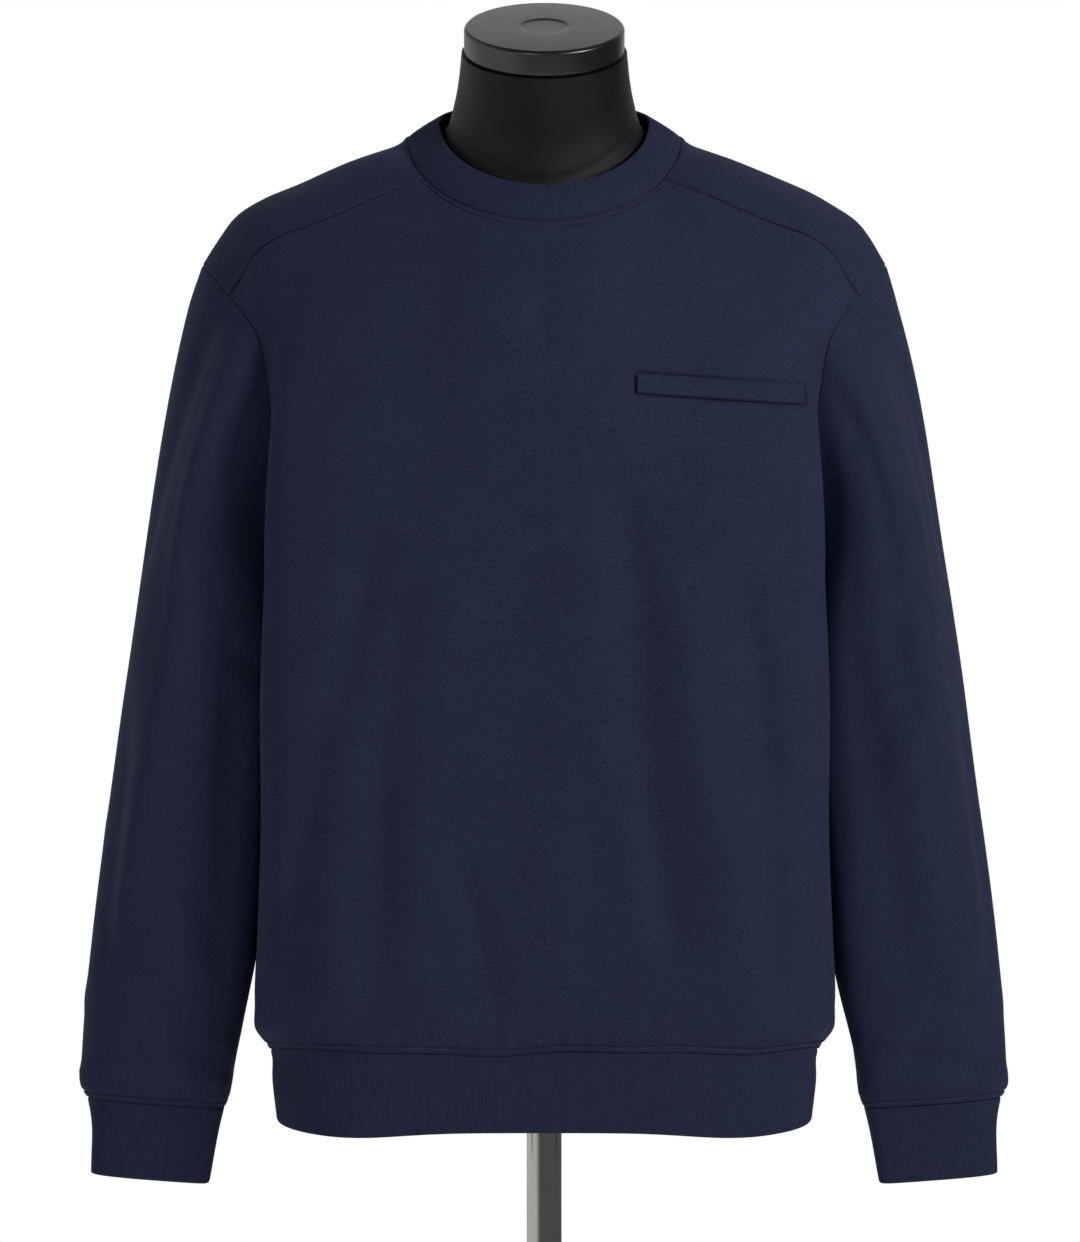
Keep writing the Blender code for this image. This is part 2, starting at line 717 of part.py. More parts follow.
def point_normals(points, faces):
    """Normals of points, from the faces round them."""
    total = np.zeros_like(points)
    normals = face_normals(points, faces)
    for corner in range(4):
        np.add.at(total, faces[:, corner], normals)
    return unit(total)


def seam_normals(points, faces, owners):
    """Normals of the whole garment; on an armhole, midway between body and sleeve."""
    total = np.zeros_like(points)
    of_sleeve = np.char.startswith(owners, "sleeve")
    for chosen in (of_sleeve, ~of_sleeve):
        total += point_normals(points, faces[chosen])
    return unit(total)


def border_edges(faces):
    """Edges with one face only, in the direction of that face."""
    ends = np.concatenate([faces[:, [i, (i + 1) % 4]] for i in range(4)])
    owner = np.tile(np.arange(len(faces)), 4)
    key = np.sort(ends, axis=1)
    _, index, count = np.unique(key, axis=0, return_inverse=True, return_counts=True)
    single = count[index.reshape(-1)] == 1
    return ends[single], owner[single]


def wall(points, faces, normals):
    """A closed wall under the faces, its edges drawn back from the seams."""
    own = point_normals(points, faces)
    agree = np.maximum((own * normals).sum(axis=1), LEAST_EDGE_AGREEMENT)[:, None]
    edges, owner = border_edges(faces)
    normal = unit(face_normals(points, faces))[owner]
    inward = np.cross(normal, unit(points[edges[:, 1]] - points[edges[:, 0]]))
    back = np.zeros_like(points)
    for end in (0, 1):
        np.add.at(back, edges[:, end], inward)
    outer = points + unit(back) * SEAM_GAP / 2 / agree
    inner = outer - normals * CLOTH_WALL / np.maximum(agree, LEAST_WALL_AGREEMENT)
    used = np.unique(faces)
    count = len(points)
    rim = np.stack([edges[:, 1], edges[:, 0], edges[:, 0] + count, edges[:, 1] + count], axis=1)
    shell = np.concatenate([faces, faces[:, [0, 3, 2, 1]] + count, rim])
    number = np.full(2 * count, -1)
    kept = np.concatenate([used, used + count])
    number[kept] = np.arange(len(kept))
    return np.concatenate([outer, inner])[kept], number[shell]


def paint(name, colour, roughness, metallic=0.0):
    """A plain material of the piece."""
    material = bpy.data.materials.new(name)
    material.use_nodes = True
    shader = material.node_tree.nodes["Principled BSDF"]
    shader.inputs["Base Color"].default_value = colour
    shader.inputs["Roughness"].default_value = roughness
    shader.inputs["Metallic"].default_value = metallic
    material.diffuse_color = colour
    return material


def add_mesh(name, points, faces, material, location=(0.0, 0.0, 0.0), tilt=0.0):
    """A smooth-shaded object with sharp edges where its faces turn by SHARP_ANGLE."""
    mesh = bpy.data.meshes.new(name)
    mesh.from_pydata([tuple(p) for p in points], [], [tuple(int(i) for i in f) for f in faces])
    mesh.materials.append(material)
    mesh.shade_smooth()
    mesh.set_sharp_from_angle(angle=SHARP_ANGLE)
    item = bpy.data.objects.new(name, mesh)
    item.location = location
    item.rotation_euler = (tilt, 0.0, 0.0)
    bpy.context.scene.collection.objects.link(item)
    return item


def rings_to_solid(rings):
    """A closed solid through rings (rows, columns, 3), capped by its end polygons."""
    rows, columns = rings.shape[:2]
    number = np.arange(rows * columns).reshape(rows, columns)
    turned = np.roll(number, -1, axis=1)
    sides = np.stack([number[:-1], turned[:-1], turned[1:], number[1:]], axis=-1)
    faces = [list(face) for face in sides.reshape(-1, 4)]
    return rings.reshape(-1, 3), faces + [list(number[0][::-1]), list(number[-1])]


def turned_solid(profile, segments):
    """A solid of revolution about Z from (radius, z) points, bottom to top."""
    angle = np.arange(segments) * 2 * math.pi / segments
    circle = np.stack([np.cos(angle), np.sin(angle), 0 * angle], axis=1)
    rings = [circle * radius + np.array([0.0, 0.0, z]) for radius, z in profile]
    return rings_to_solid(np.stack(rings))


def form_solid():
    """The dress form: rings from its flat bottom over the shoulders to the neck's top."""
    turns = np.arange(FORM_COLUMNS) * 2 * math.pi / FORM_COLUMNS
    c, s = np.cos(turns), np.sin(turns)
    rings = []
    for hoop in FORM_HOOPS:
        x = np.sign(c) * np.abs(c) ** (2 / hoop.square) * hoop.width
        depth = np.where(s < 0, hoop.front, hoop.back)
        across = np.sign(s) * np.abs(s) ** (2 / hoop.square)
        end_z = np.where(s < 0, hoop.front_z, hoop.back_z)
        z = hoop.side_z + (end_z - hoop.side_z) * across**2
        rings.append(np.stack([x, hoop.middle + across * depth, z], axis=1))
    rings.append(neck_top_ring(turns))
    return rings_to_solid(np.stack(rings))


def neck_top_ring(turns):
    """The tilted ring under the cap."""
    flat = np.stack([np.cos(turns), np.sin(turns), 0 * turns], axis=1) * (CAP_RADIUS + NECK_LIP)
    tilt = np.array([
        [1.0, 0.0, 0.0],
        [0.0, math.cos(CAP_TILT), -math.sin(CAP_TILT)],
        [0.0, math.sin(CAP_TILT), math.cos(CAP_TILT)],
    ])
    return flat @ tilt.T + np.array(NECK_TOP)


def welt_solid(front):
    """The pocket's welt: points of the front panel under it, moved out."""
    points = [Vector(p) for p in front[0]]
    tree = BVHTree.FromPolygons(points, [tuple(int(i) for i in f) for f in front[1]])
    inner = np.array([WELT_INNER_TOP, (WELT_INNER_TOP[0], WELT_INNER_TOP[1] - WELT_DEPTH)])
    outer = np.array([WELT_OUTER_TOP, (WELT_OUTER_TOP[0], WELT_OUTER_TOP[1] - WELT_DEPTH)])
    across = 1 - np.linspace(1, 0, WELT_COLUMNS + 1)[None, :, None] ** WELT_CROWDING
    low_to_high = np.linspace(1, 0, 3)[:, None, None]
    top = inner[0] + (outer[0] - inner[0]) * across
    bottom = inner[1] + (outer[1] - inner[1]) * across
    places = top + (bottom - top) * low_to_high
    grid = np.zeros(places.shape[:2] + (3,))
    for row in range(places.shape[0]):
        for column in range(places.shape[1]):
            x, z = places[row, column]
            ahead = Vector((x, -BASE_RADIUS, z))
            grid[row, column] = tree.ray_cast(ahead, Vector((0.0, 1.0, 0.0)))[0]
    quads = grid_faces(*grid.shape[:2])
    flat = grid.reshape(-1, 3)
    normals = point_normals(flat, quads)
    raised = flat + normals * (WELT_RISE + WELT_WALL)
    edges = border_edges(quads)[0]
    count = len(flat)
    rim = np.stack([edges[:, 1], edges[:, 0], edges[:, 0] + count, edges[:, 1] + count], axis=1)
    under = flat + normals * WELT_RISE
    return np.concatenate([raised, under]), np.concatenate([quads, quads[:, [0, 3, 2, 1]] + count, rim])


def build_garment():
    """Every cloth piece as a wall of its own."""
    points, faces, owners = weld(patches())
    normals = seam_normals(points, faces, owners)
    shells = {}
    for piece in dict.fromkeys(owners):
        shells[piece] = wall(points, faces[owners == piece], normals)
    shells["pocket_welt"] = welt_solid(shells["front_panel"])
    for piece, shell in shells.items():
        add_mesh(piece, *shell, paint(piece + "_cloth", NAVY, 0.9))


def build_stand():
    """The form, its cap, the pole with its socket, and the foot."""
    points, faces = form_solid()
    add_mesh("form_torso", points, faces, paint("form_jersey", JERSEY_BLACK, 0.85))
    cap_profile = (
        (CAP_RADIUS - CAP_EDGE, 0.0),
        (CAP_RADIUS, CAP_EDGE),
        (CAP_RADIUS, CAP_HEIGHT - CAP_EDGE),
        (CAP_RADIUS - CAP_EDGE, CAP_HEIGHT),
    )
    axis = np.array([0.0, -math.sin(CAP_TILT), math.cos(CAP_TILT)])
    seat = tuple(np.array(NECK_TOP) + axis * SEAM_GAP)
    cap = turned_solid(cap_profile, CAP_SEGMENTS)
    add_mesh("neck_cap", *cap, paint("cap_satin", SATIN_GREY, 0.35), seat, CAP_TILT)
    socket_top = FORM_BOTTOM_Z - SEAM_GAP
    socket_foot = socket_top - SOCKET_HEIGHT
    socket_profile = ((SOCKET_RADIUS, socket_foot), (SOCKET_RADIUS, socket_top))
    socket = turned_solid(socket_profile, POLE_SEGMENTS)
    add_mesh("pole_socket", *socket, paint("socket_chrome", CHROME, 0.3, 1.0))
    pole_foot = BASE_THICKNESS + SEAM_GAP
    pole_profile = ((POLE_RADIUS, pole_foot), (POLE_RADIUS, socket_foot - SEAM_GAP))
    pole = turned_solid(pole_profile, POLE_SEGMENTS)
    add_mesh("pole", *pole, paint("pole_chrome", CHROME, 0.2, 1.0))
    foot = (
        (BASE_RADIUS, 0.0),
        (BASE_RADIUS, BASE_THICKNESS - BASE_EDGE),
        (BASE_RADIUS - BASE_EDGE, BASE_THICKNESS),
    )
    add_mesh("base_plate", *turned_solid(foot, BASE_SEGMENTS), paint("base_metal", BASE_GREY, 0.4, 1.0))


def main():
    """Clears the scene and builds every piece."""
    for item in list(bpy.data.objects):
        bpy.data.objects.remove(item, do_unlink=True)
    build_garment()
    build_stand()


main()
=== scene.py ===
"""Looks of a crewneck sweatshirt worn by a limbless dress form on a pole and a round foot.

Metres, +Z up, +X to the wearer's left, the front faces -Y. Every cloth is a thin closed
shell on the same sections, necklines and seams as its solid, with folds, ribs and seam
ridges worked into its grid, and its UV map is its flat place in metres.
"""

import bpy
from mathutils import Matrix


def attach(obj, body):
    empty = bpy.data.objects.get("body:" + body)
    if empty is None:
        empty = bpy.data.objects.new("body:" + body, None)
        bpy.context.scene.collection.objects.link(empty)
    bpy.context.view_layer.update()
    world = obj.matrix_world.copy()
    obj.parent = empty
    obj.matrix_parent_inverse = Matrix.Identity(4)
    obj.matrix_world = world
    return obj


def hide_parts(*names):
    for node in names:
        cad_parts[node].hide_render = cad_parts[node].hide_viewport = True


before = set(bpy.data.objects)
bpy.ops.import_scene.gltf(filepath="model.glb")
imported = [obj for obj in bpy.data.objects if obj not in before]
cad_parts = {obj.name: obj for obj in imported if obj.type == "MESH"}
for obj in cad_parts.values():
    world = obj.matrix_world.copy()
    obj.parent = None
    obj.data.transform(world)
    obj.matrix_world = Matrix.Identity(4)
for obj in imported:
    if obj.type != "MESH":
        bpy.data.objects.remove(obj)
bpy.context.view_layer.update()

import logging
import math
from dataclasses import dataclass, field
from enum import Enum
from typing import Callable

import bpy
import numpy as np
from mathutils import Vector

Array = np.ndarray
Numbers = tuple[float, ...]
Table = tuple[Numbers, ...]
Pair = tuple[float, float]
Piece = bpy.types.Object
Material = bpy.types.Material
Socket = bpy.types.NodeSocket

log = logging.getLogger("sweatshirt")

BODY = "root"

# Turns a point over to the wearer's other side
OTHER_SIDE = np.array([-1.0, 1.0, 1.0])

# How finely the hidden guide curves are sampled
GUIDE_STEPS = 320
SECTION_STEPS = 900

# Distances from a seam at which the grid has a row or column, and the reach of these
SEAM_STEPS = (
    0.0007, 0.0011, 0.0015, 0.0021, 0.0027, 0.0033,
    0.0040, 0.0047, 0.0055, 0.0066, 0.0082, 0.0105,
)
SEAM_REACH = 0.0130
# How far a panel's top row stops short of the neck and yoke seams
SEAM_HALF_GAP = 0.0003
# Lines along a grid that are closer than a tenth of a micrometre count as one
LINE_DIGITS = 7
# Steps that slide a row's end along the body to the armhole
SLIDE_STEPS = 5
# Faces that turn by more than this meet in a sharp edge
SHARP_FROM = math.radians(40)
# Rows of the half circle at a band's free edge, and how far ribs fade in from its seam
EDGE_ROWS = 5
RIB_FADE = 0.004


class Side(Enum):
    """A side of the wearer; its value is the sign of X there."""

    LEFT = 1
    RIGHT = -1


class Hold(Enum):
    """How a sheet of cloth is held."""

    HUNG = "hung"
    STRETCHED = "stretched"
    LAID = "laid"


# ---- curves and grids


def unit(vectors: Array) -> Array:
    """The vectors at length 1."""
    return vectors / np.maximum(np.linalg.norm(vectors, axis=-1, keepdims=True), 1e-12)


def smooth(keys: Array, values: Array, at: Array) -> Array:
    """Cubic Hermite curve through rows of values, with slopes taken from their neighbours.

    Args:
        keys: rising numbers, one for each row of values.
        values: rows of numbers.
        at: where to read the curve.

    Returns:
        One row for each number in at.
    """
    keys, values, at = (np.asarray(given, float) for given in (keys, values, at))
    slopes = np.gradient(values, keys, axis=0)
    low = np.clip(np.searchsorted(keys, at) - 1, 0, len(keys) - 2)
    span = (keys[low + 1] - keys[low])[..., None]
    t = (at - keys[low])[..., None] / span
    rise = values[low] * (2 * t**3 - 3 * t**2 + 1) + values[low + 1] * (3 * t**2 - 2 * t**3)
    return rise + span * (slopes[low] * (t**3 - 2 * t**2 + t) + slopes[low + 1] * (t**3 - t**2))


def lengths(path: Array) -> Array:
    """Length along axis 0 from the first point to each point."""
    steps = np.linalg.norm(np.diff(path, axis=0), axis=-1)
    return np.concatenate([np.zeros((1,) + steps.shape[1:]), np.cumsum(steps, axis=0)])


def resample(path: Array, shares: Array) -> Array:
    """The rows at these shares of the length of a dense path.

    Args:
        path: dense rows whose first three numbers are a place.
        shares: of the length, from 0 to 1.

    Returns:
        One row for each share.
    """
    run = lengths(path[:, :3])
    at = np.asarray(shares) * run[-1]
    return np.stack([np.interp(at, run, column) for column in path.T], axis=-1)


def along(table: Table, count: int) -> Array:
    """count + 1 evenly spaced rows of a smooth curve through a table's rows.

    Args:
        table: rows whose first three numbers are a place.
        count: how many steps.

    Returns:
        The rows.
    """
    rows = np.array(table, float)
    run = lengths(rows[:, :3])
    dense = smooth(run, rows, np.linspace(0, run[-1], SECTION_STEPS))
    return resample(dense, np.linspace(0, 1, count + 1))


def hermite(start: Array, end: Array, leave: Array, arrive: Array) -> Array:
    """Cubic curves from start to end, one for each column, their ways scaled by the chord.

    Args:
        start: first points.
        end: last points.
        leave: ways at the start.
        arrive: ways at the end.

    Returns:
        Points (steps, columns, 3).
    """
    t = np.linspace(0, 1, GUIDE_STEPS)[:, None, None]
    chord = np.linalg.norm(end - start, axis=1)[None, :, None]
    near = (2 * t**3 - 3 * t**2 + 1) * start + (t**3 - 2 * t**2 + t) * chord * leave
    return near + (3 * t**2 - 2 * t**3) * end + (t**3 - t**2) * chord * arrive


def rows_of(path: Array, shares: Array) -> Array:
    """Rows at these shares of each column of a dense path (steps, columns, 3)."""
    return np.stack([resample(path[:, k], shares) for k in range(path.shape[1])], axis=1)


def even_rings(rings: Array, count: int) -> Array:
    """Dense closed rings (rows, points, 3) with this many even columns."""
    even = np.linspace(0, 1, count + 1)[:-1]
    return np.swapaxes(rows_of(np.swapaxes(rings, 0, 1), even), 0, 1)


def crowded(rows: int, crowding: float) -> Array:
    """Shares for rows + 1 rows: even + crowding * sin(pi * even) / pi."""
    even = np.linspace(0, 1, rows + 1)
    return even + crowding * np.sin(math.pi * even) / math.pi


def cubic_weights(t: Array) -> Array:
    """Catmull-Rom weights of the four neighbours of a place t between the middle two."""
    return 0.5 * np.stack([
        -(t**3) + 2 * t**2 - t, 3 * t**3 - 5 * t**2 + 2, -3 * t**3 + 4 * t**2 + t, t**3 - t**2
    ])


def sampled(surface: Array, row: Array, column: Array) -> Array:
    """Points of a dense surface at fractional rows and columns, by Catmull-Rom patches.

    Args:
        surface: points (rows, columns, 3).
        row: places down it.
        column: places across it.

    Returns:
        A point for each pair of places.
    """
    row, column = np.broadcast_arrays(np.asarray(row, float), np.asarray(column, float))
    last = np.array(surface.shape[:2]) - 1
    low = np.clip(np.floor(row).astype(int), 0, last[0] - 1)
    left = np.clip(np.floor(column).astype(int), 0, last[1] - 1)
    down = cubic_weights(row - low)
    across = cubic_weights(column - left)
    grown = np.pad(surface, ((1, 1), (1, 1), (0, 0)), mode="reflect", reflect_type="odd")
    total = 0.0
    for i in range(4):
        for j in range(4):
            total = total + (down[i] * across[j])[..., None] * grown[low + i, left + j]
    return total


def stepped(
    grid: Array,
    axis: int,
    start: bool,
    end: bool,
    spans: tuple[tuple[float, float, float], ...] = (),
    gap: float = 0.0,
) -> Array:
    """The grid with extra lines near its ends along an axis, and in stretches of it.

    Args:
        grid: points (rows, columns, 3).
        axis: 0 for extra rows, 1 for extra columns.
        start: whether the seam steps are put at the first line.
        end: whether they are put at the last line.
        spans: (from, to, step) in metres along the axis, for more lines between.
        gap: how far the last line stops short of the seam there.

    Returns:
        The finer grid.
    """
    turned = np.swapaxes(grid, 0, axis)
    run = lengths(turned).mean(axis=1)
    fine = np.concatenate([[0.0], SEAM_STEPS])
    kept = (run >= SEAM_REACH * start) & (run <= run[-1] - SEAM_REACH * end)
    marks = run[kept]
    for first, last, step in spans:
        marks = marks[(marks < first) | (marks > last)]
        more = np.linspace(first, last, int(round((last - first) / step)) + 1)
        marks = np.concatenate([marks, more])
    marks = np.concatenate([marks, fine if start else [0.0]])
    marks = np.concatenate([marks, run[-1] - np.maximum(fine if end else np.zeros(1), gap)])
    at = np.interp(np.unique(np.round(marks, LINE_DIGITS)), run, np.arange(len(run)))
    columns = np.arange(turned.shape[1])[None, :]
    return np.swapaxes(sampled(turned, at[:, None], columns), 0, axis)


def ring_padded(grid: Array, lines: int) -> Array:
    """A ring's grid with some of its columns repeated beyond both ends."""
    return np.concatenate([grid[:, -lines:], grid, grid[:, :lines]], axis=1)


def grid_normals(points: Array, ring: bool) -> Array:
    """Normals of a grid: the way along the columns crossed with the way along the rows.

    Args:
        points: the grid.
        ring: whether it closes along its columns.

    Returns:
        Unit vectors like the points.
    """
    wide = ring_padded(points, 1) if ring else points
    across = np.gradient(wide, axis=1)
    up = np.gradient(wide, axis=0)
    normals = unit(np.cross(across, up))
    return normals[:, 1:-1] if ring else normals


def bump(away: Array, centre: float, width: float) -> Array:
    """A soft ridge: exp(-((away - centre) / width) ** 2)."""
    return np.exp(-(((away - centre) / width) ** 2))


def eased(t: Array) -> Array:
    """0 below 0, 1 above 1 and a smooth step between: t * t * (3 - 2 * t)."""
    t = np.clip(t, 0, 1)
    return t * t * (3 - 2 * t)


# ---- cloth shells


@dataclass
class ClothGrid:
    """The outer face of a cloth on a grid whose normals point outwards.

    Rows run along axis 0 and columns along axis 1; a ring closes along its columns.
    """

    points: Array
    ring: bool = False

    def normals(self) -> Array:
        """Outward normals of the grid's points."""
        return grid_normals(self.points, self.ring)

    def lifted(self, height: Array) -> "ClothGrid":
        """The grid moved out along its normals by a height for each point."""
        return ClothGrid(self.points + self.normals() * height[..., None], self.ring)

    def across(self) -> Array:
        """Distance of each point from the first column, along its row."""
        return np.swapaxes(lengths(np.swapaxes(self.points, 0, 1)), 0, 1)

    def round_length(self) -> Array:
        """Length of each row, closed on a ring."""
        last = np.linalg.norm(self.points[:, 0] - self.points[:, -1], axis=-1)
        return self.across()[:, -1] + (last if self.ring else 0)

    def down(self) -> Array:
        """Distance of each point from the first row, along its column."""
        return lengths(self.points)

    def line(self, away: float, from_end: bool) -> tuple[Array, Array]:
        """A line across the columns at a distance from the first or the last row.

        Args:
            away: distance in metres along the columns.
            from_end: whether it is measured from the last row.

        Returns:
            Its points and normals; on a ring the first is repeated at the end.
        """
        run = self.down()
        normals = self.normals()
        wanted = run[-1] - away if from_end else away + 0 * run[-1]
        at = [np.interp(place, column, np.arange(len(run))) for place, column in zip(wanted, run.T)]
        columns = np.arange(self.points.shape[1])
        points = sampled(self.points, np.array(at), columns)
        normals = unit(sampled(normals, np.array(at), columns))
        if self.ring:
            points, normals = (np.concatenate([given, given[:1]]) for given in (points, normals))
        return points, normals

    def flat(self, middle: int, origin: Pair) -> Array:
        """Flat places in metres, with one more column on a ring: how far along the row
        from the middle column, and how far along the column.

        Args:
            middle: the column at 0 across.
            origin: added to every place.

        Returns:
            The places (rows, columns, 2).
        """
        points = ring_padded(self.points, 1)[:, 1:] if self.ring else self.points
        wide = ClothGrid(points)
        u = wide.across()
        u = u - u[:, middle : middle + 1] + origin[0]
        return np.stack([u, wide.down() + origin[1]], axis=-1)


def add_object(name: str, points: Array, faces: Array, finish: Material) -> Piece:
    """A smooth-shaded mesh object at the origin, sharp only where faces turn widely.

    Args:
        name: the piece's name.
        points: vertices (n, 3).
        faces: quads (m, 4).
        finish: its material.

    Returns:
        The object, riding on the body.
    """
    mesh = bpy.data.meshes.new(name)
    mesh.vertices.add(len(points))
    mesh.vertices.foreach_set("co", np.ascontiguousarray(points, np.float32).ravel())
    mesh.loops.add(faces.size)
    mesh.loops.foreach_set("vertex_index", np.ascontiguousarray(faces, np.int32).ravel())
    mesh.polygons.add(len(faces))
    mesh.polygons.foreach_set("loop_start", np.arange(0, faces.size, 4, dtype=np.int32))
    mesh.update(calc_edges=True)
    mesh.validate()
    mesh.materials.append(finish)
    mesh.shade_smooth()
    mesh.set_sharp_from_angle(angle=SHARP_FROM)
    piece = bpy.data.objects.new(name, mesh)
    bpy.context.scene.collection.objects.link(piece)
    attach(piece, BODY)
    return piece


def add_flat_places(piece: Piece, corners: Array) -> None:
    """Stores a flat place for each face corner as the piece's UV map."""
    layer = piece.data.uv_layers.new(name="flat")
    layer.uv.foreach_set("vector", np.ascontiguousarray(corners, np.float32).ravel())


def loop_faces(rows: int, columns: int, ring: bool) -> tuple[Array, Array]:
    """Row and column numbers of the corners of each quad; rows close, columns on a ring.

    Args:
        rows: of quads.
        columns: of points.
        ring: whether the columns close.

    Returns:
        The row and the column of each corner.
    """
    row, column = np.meshgrid(np.arange(rows), np.arange(columns - (not ring)), indexing="ij")
    corner_rows = np.stack([row, row, row + 1, row + 1], axis=-1).reshape(-1, 4)
    corner_columns = np.stack([column, column + 1, column + 1, column], axis=-1).reshape(-1, 4)
    return corner_rows, corner_columns


def cloth_shell(
    name: str,
    cloth: ClothGrid,
    finish: Material,
    thickness: float,
    middle: int = 0,
    origin: Pair = (0.0, 0.0),
    rounded: int = 0,
) -> Piece:
    """A closed wall behind a cloth's outer face.

    The wall's rows run up the outer face, over the last row on a half circle and back down
    the inner face, which is the outer one moved in by the thickness; open sides get strips.

    Args:
        name: the piece's name.
        cloth: its outer face.
        finish: its material.
        thickness: of the wall, in metres.
        middle: the column whose flat place is 0 across.
        origin: added to the flat places, so that pieces differ.
        rounded: rows of the half circle at the last row.

    Returns:
        The object.
    """
    outer = cloth.points
    inner = outer - cloth.normals() * thickness
    centre = (outer[-1] + inner[-1]) / 2
    out = (outer[-1] - inner[-1]) / 2
    ahead = unit(outer[-1] - outer[-2])
    turn = np.linspace(0, math.pi, rounded + 2)[1:-1, None, None]
    edge = centre + np.cos(turn) * out + np.sin(turn) * ahead * thickness / 2
    loop = np.concatenate([outer, edge, inner[::-1]])
    rows, columns = loop.shape[:2]
    corner_rows, corner_columns = loop_faces(rows, columns, cloth.ring)
    faces = (corner_rows % rows) * columns + corner_columns % columns
    places = cloth.flat(middle, origin)
    arc = places[-1] + np.zeros((rounded, 1, 1))
    places = np.concatenate([places, arc, places[::-1]])
    flat = places[corner_rows % rows, corner_columns]
    if not cloth.ring:
        row = np.arange(len(outer) - 1)
        far = rows - 1 - row
        order = np.stack([row, row + 1, far - 1, far], axis=1)
        strips = np.concatenate([order * columns, order[:, ::-1] * columns + columns - 1])
        faces = np.concatenate([faces, strips])
        ends = [places[order, 0], places[order[:, ::-1], columns - 1]]
        flat = np.concatenate([flat, *ends])
    piece = add_object(name, loop.reshape(-1, 3), faces, finish)
    add_flat_places(piece, flat)
    return piece


# ---- seams and folds


@dataclass(frozen=True)
class SeamProfile:
    """Heights beside a seam: a valley at it, a ridge over its turnings, a needle line."""

    rise: float = 0.0016
    valley: float = 0.0011
    ridge: float = 0.0
    ridge_at: float = 0.0024
    ridge_width: float = 0.0015
    needle: float = 0.0
    needle_at: float = 0.0050
    needle_width: float = 0.0008

    def height(self, away: Array) -> Array:
        """rise * (1 - bump at the seam) + ridge * bump - needle * bump, for a distance."""
        return (
            self.rise * (1 - bump(away, 0, self.valley))
            + self.ridge * bump(away, self.ridge_at, self.ridge_width)
            - self.needle * bump(away, self.needle_at, self.needle_width)
        )


PLAIN_SEAM = SeamProfile()
FINE_SEAM = SeamProfile(rise=0.0008, valley=0.0009)
COVERED_SEAM = SeamProfile(ridge=0.0010, ridge_at=0.0027, needle=0.0012, needle_width=0.0010)
BAND_SEAM = SeamProfile(rise=0.0010, valley=0.0013)
FINE_SEAM_REACH = 0.03


def sewn_edge(away: Array) -> Array:
    """The fine seam's height, rising to the plain seam's further away."""
    more = PLAIN_SEAM.rise - FINE_SEAM.rise
    return FINE_SEAM.height(away) + more * eased(away / FINE_SEAM_REACH)


@dataclass(frozen=True)
class Fold:
    """A long soft fold on the front or back, from its top to its foot in X and Z.

    It is gone at a share of its length from its middle, run on, and fades over another;
    wander bends its line sideways.
    """

    top_x: float
    top_z: float
    foot_x: float
    foot_z: float
    reach: float
    height: float
    wander: float = 0.0
    phase: float = 0.0

    RUN_ON = 0.66
    FADE = 0.25
    BENDS = 0.8
    UNEVEN_WAVES = 1.3
    UNEVEN = 0.22

    def lift(self, x: Array, z: Array) -> Array:
        """height * fade(t) * exp(-((x - line) / reach) ** 2), t running from top to foot.

        Args:
            x: places across.
            z: heights above the floor.

        Returns:
            How far out the fold stands there.
        """
        t = (self.top_z - z) / (self.top_z - self.foot_z)
        line = self.top_x + (self.foot_x - self.top_x) * t
        line = line + self.wander * np.sin(math.tau * (t * self.BENDS + self.phase))
        fade = eased((self.RUN_ON - np.abs(t - 0.5)) / self.FADE)
        wave = np.sin(math.tau * (t * self.UNEVEN_WAVES + self.phase))
        uneven = 1 + self.UNEVEN * wave * (self.wander > 0)
        return self.height * fade * uneven * bump(x, line, self.reach)


@dataclass(frozen=True)
class Swell:
    """A gentle unevenness of hanging cloth: a sum of slow waves in its flat place."""

    height: float = 0.0005
    seed: int = 1
    waves: int = 9
    longest: float = 0.170
    shortest: float = 0.045
    lean: float = 0.5
    down_share: float = 0.5

    def lift(self, u: Array, v: Array) -> Array:
        """The sum of sines of seeded directions, lengths and phases, scaled to the height.

        Args:
            u: flat places across.
            v: flat places down.

        Returns:
            How far out the cloth stands there.
        """
        chance = np.random.default_rng(self.seed)
        angle = chance.uniform(-self.lean, self.lean, self.waves)
        length = chance.uniform(self.shortest, self.longest, self.waves)
        phase = chance.uniform(0, math.tau, self.waves)
        total = np.zeros_like(u)
        for a, size, start in zip(angle, length, phase):
            run = u * math.cos(a) + self.down_share * v * math.sin(a)
            total += np.sin(math.tau * run / size + start)
        return self.height * total / math.sqrt(self.waves)


# ---- the garment's shape


